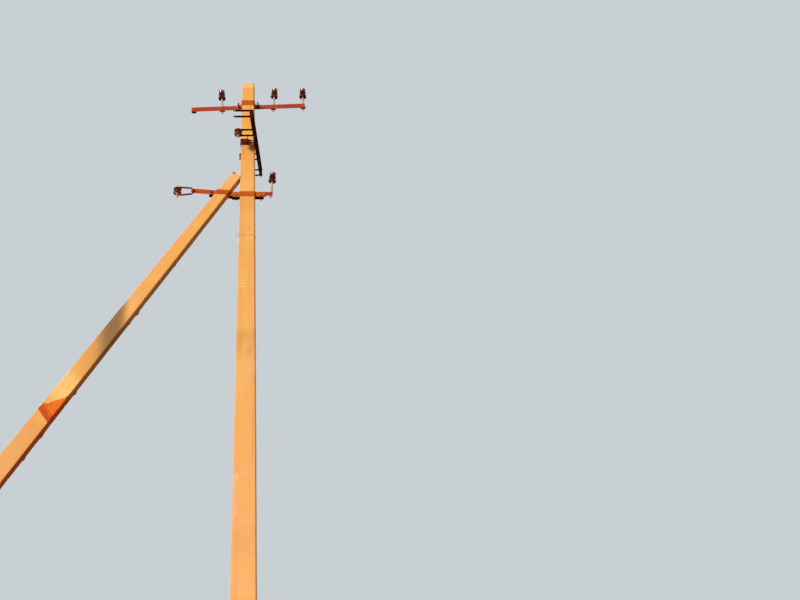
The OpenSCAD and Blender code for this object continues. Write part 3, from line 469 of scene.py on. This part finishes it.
def addHexagon(shape, flats, low, height, place, chamferFoot=True):  # its corners turned off round the face
    segments = hexagon["segments"]
    face = hexagon["face"] * flats / 2
    angles = [2 * pi * k / segments for k in range(segments)]
    rims = [flats / 2 / cos(angle % (pi / 3) - pi / 6) for angle in angles]
    drops = [(rim - face) * tan(hexagon["chamfer"]) for rim in rims]

    def around(radii, heights):
        return [place @ Vector((r * cos(a), r * sin(a), h)) for r, a, h in zip(radii, angles, heights)]
    foot = [low + (drop if chamferFoot else 0) for drop in drops]
    addRows(shape, [around([face] * segments, [low] * segments), around(rims, foot),
                    around(rims, [low + height - drop for drop in drops]),
                    around([face] * segments, [low + height] * segments)])


def toObject(name, shape, finishes, slot, *replaced, sharp=35, worn=(), cuts=()):  # a cut: a point, the side to remove
    mesh = bpy.data.meshes.new(name)
    mesh.from_pydata(shape["points"], [], shape["faces"])
    for finish in finishes:
        mesh.materials.append(finish)
    mesh.polygons.foreach_set("material_index", shape["finishes"])
    if worn:
        mesh.attributes.new("worn", "FLOAT", "POINT").data.foreach_set("value", worn)
    work = bmesh.new()
    work.from_mesh(mesh)
    for point, away in cuts:
        cut = bmesh.ops.bisect_plane(work, geom=work.verts[:] + work.edges[:] + work.faces[:], plane_co=point,
                                     plane_no=away, clear_outer=True)
        rim = [e for e in cut["geom_cut"] if isinstance(e, bmesh.types.BMEdge)]
        bmesh.ops.contextual_create(work, geom=rim)
    bmesh.ops.recalc_face_normals(work, faces=work.faces)
    work.to_mesh(mesh)
    work.free()
    mesh.shade_smooth()
    mesh.set_sharp_from_angle(angle=radians(sharp))
    piece = bpy.data.objects.new(name, mesh)
    scene.collection.objects.link(piece)
    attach(piece, "root")
    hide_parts(*replaced)


# Geometry Nodes: a threaded rod, a wire along a path, and cut wire ends spread over a face
def newTree(name, sockets):
    tree = bpy.data.node_groups.new(name, "GeometryNodeTree")
    tree.is_modifier = True
    for label, kind in sockets.items():
        tree.interface.new_socket(label, in_out="INPUT", socket_type=kind)
    tree.interface.new_socket("Geometry", in_out="OUTPUT", socket_type="NodeSocketGeometry")
    return tree, addNode(tree, "NodeGroupInput").outputs


def endTree(tree, geometry, material):
    realized = addNode(tree, "GeometryNodeRealizeInstances", {"Geometry": geometry})
    finished = addNode(tree, "GeometryNodeSetMaterial", {"Geometry": realized, "Material": material})
    addNode(tree, "NodeGroupOutput", {"Geometry": finished})


def buildThreadTree():
    tree, given = newTree("threadedRod", {"Length": "NodeSocketFloat", "Radius": "NodeSocketFloat",
                                          "Pitch": "NodeSocketFloat", "Finish": "NodeSocketMaterial"})
    turns = addNode(tree, "ShaderNodeMath", {0: given["Length"], 1: given["Pitch"]}, operation="DIVIDE")
    root = addNode(tree, "ShaderNodeMath", {0: given["Pitch"], 1: -0.62, 2: given["Radius"]},
                   operation="MULTIPLY_ADD")
    middle = addNode(tree, "ShaderNodeMath", {0: given["Pitch"], 1: -0.5, 2: given["Radius"]},
                     operation="MULTIPLY_ADD")
    ridge = addNode(tree, "ShaderNodeMath", {0: given["Pitch"], 1: 0.5}, operation="MULTIPLY")
    helix = addNode(tree, "GeometryNodeCurveSpiral", {"Resolution": 20, "Rotations": turns, "Start Radius": middle,
                                                      "End Radius": middle, "Height": given["Length"]})
    upright = addNode(tree, "GeometryNodeSetCurveNormal", {"Curve": helix}, mode="Z_UP")
    tooth = addNode(tree, "GeometryNodeCurvePrimitiveCircle", {"Resolution": 3, "Radius": ridge}, mode="RADIUS")
    thread = addNode(tree, "GeometryNodeCurveToMesh", {"Curve": upright, "Profile Curve": tooth, "Fill Caps": True})
    core = addNode(tree, "GeometryNodeMeshCylinder", {"Vertices": 20, "Radius": root, "Depth": given["Length"]})
    half = addNode(tree, "ShaderNodeMath", {0: given["Length"], 1: 0.5}, operation="MULTIPLY")
    lift = addNode(tree, "ShaderNodeCombineXYZ", {2: half})
    raised = addNode(tree, "GeometryNodeTransform", {"Geometry": core.outputs["Mesh"], "Translation": lift})
    rod = addNode(tree, "GeometryNodeJoinGeometry", {0: raised})
    tree.links.new(thread.outputs[0], rod.inputs[0])
    endTree(tree, rod, given["Finish"])
    return tree


def buildWireTree():
    tree, given = newTree("drawnWire", {"Path": "NodeSocketGeometry", "Radius": "NodeSocketFloat",
                                        "Finish": "NodeSocketMaterial"})
    line = addNode(tree, "GeometryNodeMeshToCurve", {"Mesh": given["Path"]})
    section = addNode(tree, "GeometryNodeCurvePrimitiveCircle", {"Resolution": 10, "Radius": given["Radius"]},
                      mode="RADIUS")
    wire = addNode(tree, "GeometryNodeCurveToMesh", {"Curve": line, "Profile Curve": section, "Fill Caps": True})
    endTree(tree, wire, given["Finish"])
    return tree


def buildWireEndTree():
    tree, given = newTree("cutWireEnds", {"Width": "NodeSocketFloat", "Depth": "NodeSocketFloat",
                                          "Columns": "NodeSocketInt", "Rows": "NodeSocketInt",
                                          "Wire": "NodeSocketFloat", "Stands": "NodeSocketFloat",
                                          "Finish": "NodeSocketMaterial"})
    face = addNode(tree, "GeometryNodeMeshGrid", {"Size X": given["Width"], "Size Y": given["Depth"],
                                                  "Vertices X": given["Columns"], "Vertices Y": given["Rows"]})
    wire = addNode(tree, "GeometryNodeMeshCylinder", {"Vertices": 12, "Radius": given["Wire"],
                                                      "Depth": given["Stands"]})
    shift = addNode(tree, "FunctionNodeRandomValue", {0: (-0.003, -0.003, 0.0), 1: (0.003, 0.003, 0.0), "Seed": 4},
                    data_type="FLOAT_VECTOR")
    loose = addNode(tree, "GeometryNodeSetPosition", {"Geometry": face.outputs["Mesh"], "Offset": shift})
    spread = addNode(tree, "GeometryNodeInstanceOnPoints", {"Points": loose, "Instance": wire.outputs["Mesh"]})
    endTree(tree, spread, given["Finish"])
    return tree


threadTree, wireTree, wireEndTree = buildThreadTree(), buildWireTree(), buildWireEndTree()


def grow(tree, values, points=(), edges=()):  # the points and faces that a tree makes with these values
    mesh = bpy.data.meshes.new(tree.name)
    mesh.from_pydata(points, edges, [])
    holder = bpy.data.objects.new(tree.name, mesh)
    scene.collection.objects.link(holder)
    modifier = holder.modifiers.new("grow", "NODES")
    modifier.node_group = tree
    for item in tree.interface.items_tree:
        if item.in_out == "INPUT" and item.name in values:
            modifier[item.identifier] = values[item.name]
    evaluated = holder.evaluated_get(bpy.context.evaluated_depsgraph_get())
    grown = bpy.data.meshes.new_from_object(evaluated)
    result = [v.co.copy() for v in grown.vertices], [list(f.vertices) for f in grown.polygons]
    bpy.data.objects.remove(holder)
    bpy.data.meshes.remove(grown)
    return result


def addGrown(shape, grown, place):
    start = len(shape["points"])
    shape["points"] += [tuple(place @ point) for point in grown[0]]
    shape["faces"] += [[start + i for i in face] for face in grown[1]]
    shape["finishes"] += [0] * len(grown[1])


threadPitch = {0.012: 0.00175, 0.016: 0.002, 0.020: 0.0025}
knownThreads = {}


def addThread(shape, size, low, length, place):
    key = (size, round(length, 5))
    if key not in knownThreads:
        knownThreads[key] = grow(threadTree, {"Length": length, "Radius": size / 2, "Pitch": threadPitch[size],
                                              "Finish": boltRust})
    addGrown(shape, knownThreads[key], place @ Matrix.Translation((0, 0, low)))


# Bolts: head, shank, washer, nut and threaded end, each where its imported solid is
boltForm = dict(headHeight=0.64, nutHeight=0.8, flats=1.5, washer=2.1, shankPlay=0.0005)
alongAxis = {"+X": Matrix.Rotation(pi / 2, 4, "Y"), "+Y": Matrix.Rotation(-pi / 2, 4, "X"),
             "-Y": Matrix.Rotation(pi / 2, 4, "X"), "-Z": Matrix.Rotation(pi, 4, "X")}


def solidBoxes(node):  # lowest and highest corner of each solid in a node
    work = bmesh.new()
    work.from_mesh(nodes[node].data)
    bmesh.ops.remove_doubles(work, verts=work.verts, dist=1e-6)
    left = set(work.verts)
    boxes = []
    while left:
        found, edge = set(), [left.pop()]
        while edge:
            vertex = edge.pop()
            found.add(vertex)
            for link in vertex.link_edges:
                other = link.other_vert(vertex)
                if other in left:
                    left.remove(other)
                    edge.append(other)
        corners = [[pick(v.co[i] for v in found) for i in range(3)] for pick in (min, max)]
        boxes.append((Vector(corners[0]), Vector(corners[1])))
    work.free()
    return boxes


def addBolt(shape, box, way, size, tail, washer):  # returns the frame at the head's seat and the grip
    low, high = box
    axis = "XYZ".index(way[1])
    total = high[axis] - low[axis]
    head, nut = boltForm["headHeight"] * size, boltForm["nutHeight"] * size
    grip = total - head - washer - nut - tail
    seat = (low + high) / 2
    seat[axis] = low[axis] + head if way[0] == "+" else high[axis] - head
    place = Matrix.Translation(seat) @ alongAxis[way]
    flats, radius = boltForm["flats"] * size, size / 2
    addHexagon(shape, flats, -head, head, place @ Matrix.Rotation(pi, 4, "X") @ Matrix.Translation((0, 0, head)),
               chamferFoot=False)
    addTurned(shape, [(radius, -0.001), (radius, grip + washer + 0.001)], place, 24)
    addTube(shape, radius + boltForm["shankPlay"], boltForm["washer"] * radius, grip, grip + washer, place)
    addHexagon(shape, flats, grip + washer, nut, place)
    addThread(shape, size, grip + washer, nut + tail, place)
    return place, grip


# Way, size, thread beyond the nut, and washer, for each kind of clamp bolt
clampBolts = {("-Y", 0.016, 0.0762, 0.003): ("top_clamp_bolt_left", "top_clamp_bolt_right"),
              ("+Y", 0.016, 0.014, 0.003): ("lower_arm_bolt",),
              ("+Y", 0.016, 0.028, 0.003): ("clamp_bolt_shared", "clamp_bolt_right", "strut_clamp_bolt"),
              ("+X", 0.012, 0.010, 0.003): ("end_strap_bolt",),
              ("+X", 0.012, 0.010, 0.001): ("saddle_bolts_front", "saddle_bolts_rear"),
              ("-Z", 0.012, 0.010, 0.003): ("branch_strap_bolts",)}
orangeBolts = ("lower_arm_bolt", "clamp_bolt_shared", "clamp_bolt_right")


def makeClampBolts():
    for (way, size, tail, washer), members in clampBolts.items():
        for node in members:
            shape = newShape()
            for box in solidBoxes(node):
                addBolt(shape, box, way, size, tail, washer)
            toObject("threaded_" + node, shape, [boltOrange if node in orangeBolts else boltRust], "rusty_bolts", node)


makeClampBolts()
shackleBolts = dict(size=0.016, tail=0.014, washer=0.003, strap=0.006, spacer=0.0105, spacerRadius=0.0152)


def makeShackleBolts():
    size, tail, washer, strap, spacer = (shackleBolts[k] for k in ("size", "tail", "washer", "strap", "spacer"))
    shape = newShape()
    for box in solidBoxes("branch_shackle_bolts"):
        addBolt(shape, box, "-Z", size, tail, washer)
    toObject("threaded_branch_shackle_bolts", shape, [zinc], "zinc_pins", "branch_shackle_bolts")
    shape = newShape()
    place, grip = addBolt(shape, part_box("end_shackle_bolt"), "-Z", size, tail, washer)
    for low in (strap, grip - strap - spacer):
        addTube(shape, size / 2 + boltForm["shankPlay"], shackleBolts["spacerRadius"], low, low + spacer, place)
    toObject("threaded_end_shackle_bolt", shape, [zinc], "zinc_pins", "end_shackle_bolt")


makeShackleBolts()
print("bolts ready")

# Insulator pins: threaded shank with nuts and a plate, collar, tapered stalk
pinForm = dict(shank=0.020, baseRadius=0.017, topRadius=0.012, collarHeight=0.009, foot=0.016, socket=0.062,
               plateWidth=0.060, plateDepth=0.048, plateThickness=0.006, nut=0.016, flats=0.030, longShank=0.086,
               shortShank=0.066)
lowerArm = dict(leg=0.050, thickness=0.005, pinEdge=0.019, lean=5)
lowerArmLow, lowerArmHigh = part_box("lower_arm")


def pinSeat(x):  # on the top arm's upper leg
    return armFrame @ Matrix.Translation((x, topArm["leg"] / 2 + 0.002, topArm["leg"] / 2))


outerPin = topArm["length"] / 2 - topArm["outerEdge"]
lowerSeat = Matrix.Translation((lowerArmHigh.x - lowerArm["pinEdge"], lowerArmLow.y + lowerArm["leg"] / 2 + 0.002,
                                lowerArmHigh.z))
pins = {"pin_left": dict(seat=pinSeat(topArm["leftPin"]), lean=0, stalk=0.134),
        "pin_inner_right": dict(seat=pinSeat(topArm["innerPin"]), lean=topArm["innerLean"], stalk=0.134),
        "pin_outer_right": dict(seat=pinSeat(outerPin), lean=topArm["outerLean"], stalk=0.118),
        "pin_lower": dict(seat=lowerSeat, lean=lowerArm["lean"], stalk=0.152)}


def addSeated(shape, part, seat, low, high):  # a leaning part, trimmed to lie flat between two levels of its seat
    trimmed = [Vector((x, y, min(max(z, low), high))) for x, y, z in part["points"]]
    addGrown(shape, (trimmed, part["faces"]), seat)


def addPlate(shape, width, depth, low, thickness, place):  # with eased edges and the second finish
    edge = 0.0012
    rows = []
    for inset, height in ((edge, low), (0, low + edge), (0, low + thickness - edge), (edge, low + thickness)):
        rows.append([place @ Vector((x * (width / 2 - inset), y * (depth / 2 - inset), height))
                     for x, y in ((1, 1), (-1, 1), (-1, -1), (1, -1))])
    addRows(shape, rows, 1)


def addShankFittings(shape, place, seat, leg, plated):
    nut, flats = pinForm["nut"], pinForm["flats"]
    part = newShape()
    level = -leg - nut
    addHexagon(part, flats, level, nut + 0.003, place)
    addSeated(shape, part, seat, -1, -leg)
    place = seat @ place
    if plated:
        addHexagon(shape, flats, level - nut, nut, place)
        level -= nut + pinForm["plateThickness"]
        addPlate(shape, pinForm["plateWidth"], pinForm["plateDepth"], level, pinForm["plateThickness"], place)
        addHexagon(shape, flats, level - nut, nut, place)


def makePins():
    size, base, top, collar, foot = (pinForm[k] for k in ("shank", "baseRadius", "topRadius", "collarHeight", "foot"))
    for node, pin in pins.items():
        shape, part = newShape(), newShape()
        leaning = Matrix.Rotation(radians(pin["lean"]), 4, "Y")
        place = pin["seat"] @ leaning
        plated = node != "pin_lower"
        length = pinForm["longShank" if plated else "shortShank"]
        addThread(shape, size, -length, length + collar, place)
        addTurned(part, [(0, -0.003), (base + 0.003, -0.003), (base + 0.003, collar - 0.002),
                         (base + 0.001, collar), (base, collar + 0.001), (base, foot - 0.002), (base - 0.002, foot),
                         (0, foot)], leaning, 40)
        addSeated(shape, part, pin["seat"], 0, 1)
        grip, tip = pin["stalk"] - 0.028, pin["stalk"] + pinForm["socket"] - 0.002
        addTurned(shape, [(0, foot - 0.003), (base - 0.0015, foot - 0.003), (base - 0.0018, foot + 0.004),
                          (top, grip), (top, tip - 0.001), (top - 0.001, tip), (0, tip)], place, 40)
        addShankFittings(shape, leaning, pin["seat"], (topArm if plated else lowerArm)["thickness"], plated)
        toObject("forged_" + node, shape, [zinc, boltRust], "zinc_pins", node)
    shape = newShape()
    seat, length = pinSeat(-outerPin), pinForm["shortShank"]
    addThread(shape, size, -length, length, seat)
    addHexagon(shape, pinForm["flats"], 0, boltForm["headHeight"] * size, seat, chamferFoot=False)
    addShankFittings(shape, Matrix(), seat, topArm["thickness"], True)
    toObject("threaded_neutral_bolt", shape, [boltRust, boltRust], "rusty_bolts", "neutral_bolt")


makePins()


def filleted(corners):  # (radius, height, fillet) corners to a smooth profile
    profile = []
    for i, (x, z, fillet) in enumerate(corners):
        here = Vector((x, z))
        if fillet == 0 or i in (0, len(corners) - 1):
            profile.append((x, z))
            continue
        before, after = (Vector(corners[k][:2]) - here for k in (i - 1, i + 1))
        reach = min(fillet / tan(before.angle(after) / 2), 0.49 * before.length, 0.49 * after.length)
        start, end, steps = here + before.normalized() * reach, here + after.normalized() * reach, 7
        for k in range(steps + 1):
            t = k / steps
            point = start * (1 - t) ** 2 + here * (2 * t * (1 - t)) + end * t ** 2
            profile.append((point.x, point.y))
    return profile


# Pin insulator, skirt edge at zero: domed head, tie groove, body, skirt, and an inner petticoat round the pin
pinInsulator = dict(corners=[
    (0.0125, 0.062, 0), (0.0125, 0.006, 0), (0.0200, 0.006, 0.003), (0.0225, 0.040, 0.004), (0.0335, 0.040, 0.006),
    (0.0385, 0.000, 0.002), (0.0450, 0.000, 0.003), (0.0450, 0.017, 0.006), (0.0413, 0.029, 0.006),
    (0.0400, 0.038, 0.006), (0.0400, 0.070, 0.005), (0.0370, 0.078, 0.004), (0.0305, 0.0805, 0.005),
    (0.0305, 0.0885, 0.003), (0.0332, 0.0910, 0.003), (0.0380, 0.1110, 0.006), (0.0300, 0.124, 0.010),
    (0.0, 0.124, 0)])
# Shackle insulator: a spool with a wide groove between two rounded flanges
spool = dict(height=0.075, corners=[
    (0.0085, -0.0375, 0), (0.0310, -0.0375, 0.004), (0.0460, -0.0350, 0.012), (0.0460, -0.0120, 0.010),
    (0.0300, -0.0125, 0.006), (0.0260, 0.0, 0.03), (0.0300, 0.0125, 0.006), (0.0460, 0.0120, 0.010),
    (0.0460, 0.0350, 0.012), (0.0310, 0.0375, 0.004), (0.0085, 0.0375, 0)])


def makeInsulator(node, profile, place, finish, bare, joined):  # bare tells where the glaze stops
    shape = newShape()
    addTurned(shape, profile, place, 72, joined)
    inverse = place.inverted()
    for i, face in enumerate(shape["faces"]):
        if bare(sum((inverse @ Vector(shape["points"][k]) for k in face), Vector()) / len(face)):
            shape["finishes"][i] = 1
    toObject("glazed_" + node, shape, [finish, bisque], "glazed_porcelain", node)


def makeInsulators():
    profile = filleted(pinInsulator["corners"])
    for node, pin in pins.items():
        place = (pin["seat"] @ Matrix.Rotation(radians(pin["lean"]), 4, "Y")
                 @ Matrix.Translation((0, 0, pin["stalk"])))
        makeInsulator(node.replace("pin_", "pin_insulator_"), profile, place, glaze,
                      lambda p: p.z < 0.0008 or (p.xy.length < 0.014 and p.z < 0.07), False)
    profile = filleted(spool["corners"])
    bearing = spool["height"] / 2 - 0.0008
    for node in ("end_shackle_insulator", "branch_insulator_2", "branch_insulator_3", "branch_insulator_4"):
        low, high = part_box(node)
        makeInsulator(node, profile, Matrix.Translation((low + high) / 2), redGlaze,
                      lambda p: abs(p.z) > bearing or p.xy.length < 0.01, True)


makeInsulators()
print("pins and insulators ready")

# Cast poles: tapered rectangles with wavy, grainy and pitted faces, chipped arrises and spurs along an edge
castSkin = dict(wave=0.0009, grain=0.0005, pitLow=0.0005, pitHigh=0.0018, coarseChips=0.6, fineChips=0.5,
                deepestChip=0.007, wornFully=0.004, sharp=33)


def outline(half, deep, chamfer, across=13, side=7):  # (x, y, outward x, outward y, arris number or None)
    points = []
    flatX, flatY = half - chamfer, deep - chamfer
    faces = [((-flatX, -deep), (flatX, -deep), (0, -1), across), ((half, -flatY), (half, flatY), (1, 0), side),
             ((flatX, deep), (-flatX, deep), (0, 1), across), ((-half, flatY), (-half, -flatY), (-1, 0), side)]
    corners = ((1, -1), (1, 1), (-1, 1), (-1, -1))
    cutX, cutY, diagonal = half - chamfer / 2, deep - chamfer / 2, 0.7071
    for (start, end, out, count), arris, (x, y) in zip(faces, (1, 2, 3, 0), corners):
        for k in range(count):
            t = k / (count - 1)
            near = (arris - 1) % 4 if k == 0 else arris if k == count - 1 else None
            points.append((start[0] + (end[0] - start[0]) * t, start[1] + (end[1] - start[1]) * t, *out, near))
        points.append((x * cutX, y * cutY, x * diagonal, y * diagonal, arris))
    return points


def castPole(post, place, finish, node, cuts=()):
    dice = random.Random(post["seed"])
    total = post["head"] + post["length"]
    count = round(total / post["step"])
    ringSize = len(outline(1, 0.5, 0.1))
    holes = {(dice.randrange(count), dice.randrange(ringSize)): dice.uniform(castSkin["pitLow"], castSkin["pitHigh"])
             for _ in range(post["holes"])}
    rows, worn = [], []
    for i in range(count + 1):
        down = total * i / count - post["head"]
        half = post["topWidth"] / 2 + down * post["taper"] / 2
        row = []
        for k, (x, y, outX, outY, arris) in enumerate(outline(half, post["thickness"] / 2, post["chamfer"])):
            spot = Vector((x, y, -down))
            sink = (castSkin["wave"] * (1 + noise.noise(spot * 4)) + castSkin["grain"] * abs(noise.noise(spot * 35))
                    + holes.get((i, k), 0))
            chip = 0.0
            if arris is not None:
                coarse = noise.noise(Vector((31.7 * arris + post["seed"], 0, down * 9))) * castSkin["coarseChips"]
                fine = noise.noise(Vector((13.1 * arris, 5, down * 45))) * castSkin["fineChips"]
                chip = min(max(coarse + fine - post["chipStart"], 0) * post["chipDepth"], castSkin["deepestChip"])
                for centre, where, reach, stand in post["spurs"]:
                    if where == arris:
                        gone = abs(down - centre) / reach
                        if gone < 1:
                            sink -= stand * (1 - gone ** 2) * (0.6 + 0.8 * abs(noise.noise(spot * 60)))
            row.append(place @ (spot - Vector((outX, outY, 0)) * (sink + chip)))
            worn.append(min(chip / castSkin["wornFully"], 1))
        rows.append(row)
    shape = newShape()
    addRows(shape, rows)
    toObject(post["name"], shape, [finish], "concrete", node, sharp=castSkin["sharp"], worn=worn, cuts=cuts)


castPole(mainPole, Matrix.Translation((0, 0, poleHigh)), mainConcrete, "main_pole")
faceSlope = mainPole["taper"] / 2
castPole(strutPole, strutFrame, strutConcrete, "strut_pole",
         [((0, 0, 0), (0, 0, -1)), ((seatX, 0, strutPole["seat"]), (1, 0, -faceSlope))])

wireEnds = dict(columns=6, rows=3, depth=0.064, mainWidth=0.119, strutWidth=0.080, strutShift=-0.012, wire=0.0024,
                stands=0.004)


def makeWireEnds():
    shape = newShape()
    mainEnd = Matrix.Translation((0, 0, poleHigh + mainPole["head"]))
    strutEnd = strutFrame @ Matrix.Translation((wireEnds["strutShift"], 0, strutPole["head"]))
    for width, place in ((wireEnds["mainWidth"], mainEnd), (wireEnds["strutWidth"], strutEnd)):
        grown = grow(wireEndTree, {"Width": width, "Depth": wireEnds["depth"], "Columns": wireEnds["columns"],
                                   "Rows": wireEnds["rows"], "Wire": wireEnds["wire"], "Stands": wireEnds["stands"],
                                   "Finish": boltRust})
        addGrown(shape, grown, place)
    toObject("cut_wire_ends", shape, [boltRust], "rusty_bolts")


makeWireEnds()
print("poles ready")

# Wire tie: drawn wire round the main pole over its chamfers, with an eye that stands on the left back corner
tie = dict(wire=0.002, eye=0.040, lift=0.001)


def makeWireTie():
    low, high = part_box("wire_tie")
    level = low.z + 2 * tie["wire"] - tie["lift"]
    wire, cut = tie["wire"], mainPole["chamfer"]
    right, deep = high.x - wire, -low.y - wire
    loop = [(right, -deep + cut), (right, deep - cut), (right - cut, deep), (-right + cut, deep), (-right, deep - cut),
            (-right, -deep + cut), (-right + cut, -deep), (right - cut, -deep)]
    eye = [(-right + tie["eye"] * sin(2 * pi * k / 40), level + tie["eye"] * (1 - cos(2 * pi * k / 40)))
           for k in range(40)]
    shape = newShape()
    for points in ([(x, y, level) for x, y in loop], [(x, deep - cut / 2, z) for x, z in eye]):
        edges = [(k, (k + 1) % len(points)) for k in range(len(points))]
        addGrown(shape, grow(wireTree, {"Radius": wire, "Finish": zinc}, points, edges), Matrix())
    toObject("drawn_wire_tie", shape, [zinc], "zinc_pins", "wire_tie")


makeWireTie()

# Packed steel keeps its shape and takes its finish
finishes = {oxide: ("top_crossarm", "lower_arm", "end_strap"), orangeBar: ("strut_clamp_bar",),
            orangeRust: ("top_clamp_strap", "pole_clamp_strap"), saddlePaint: ("branch_saddle",),
            darkPaint: ("pole_back_bar", "strut_back_bar", "branch_channel", "branch_straps_1", "branch_straps_2",
                        "branch_straps_3", "branch_straps_4")}
for finish, members in finishes.items():
    for node in members:
        nodes[node].data.materials.clear()
        nodes[node].data.materials.append(finish)
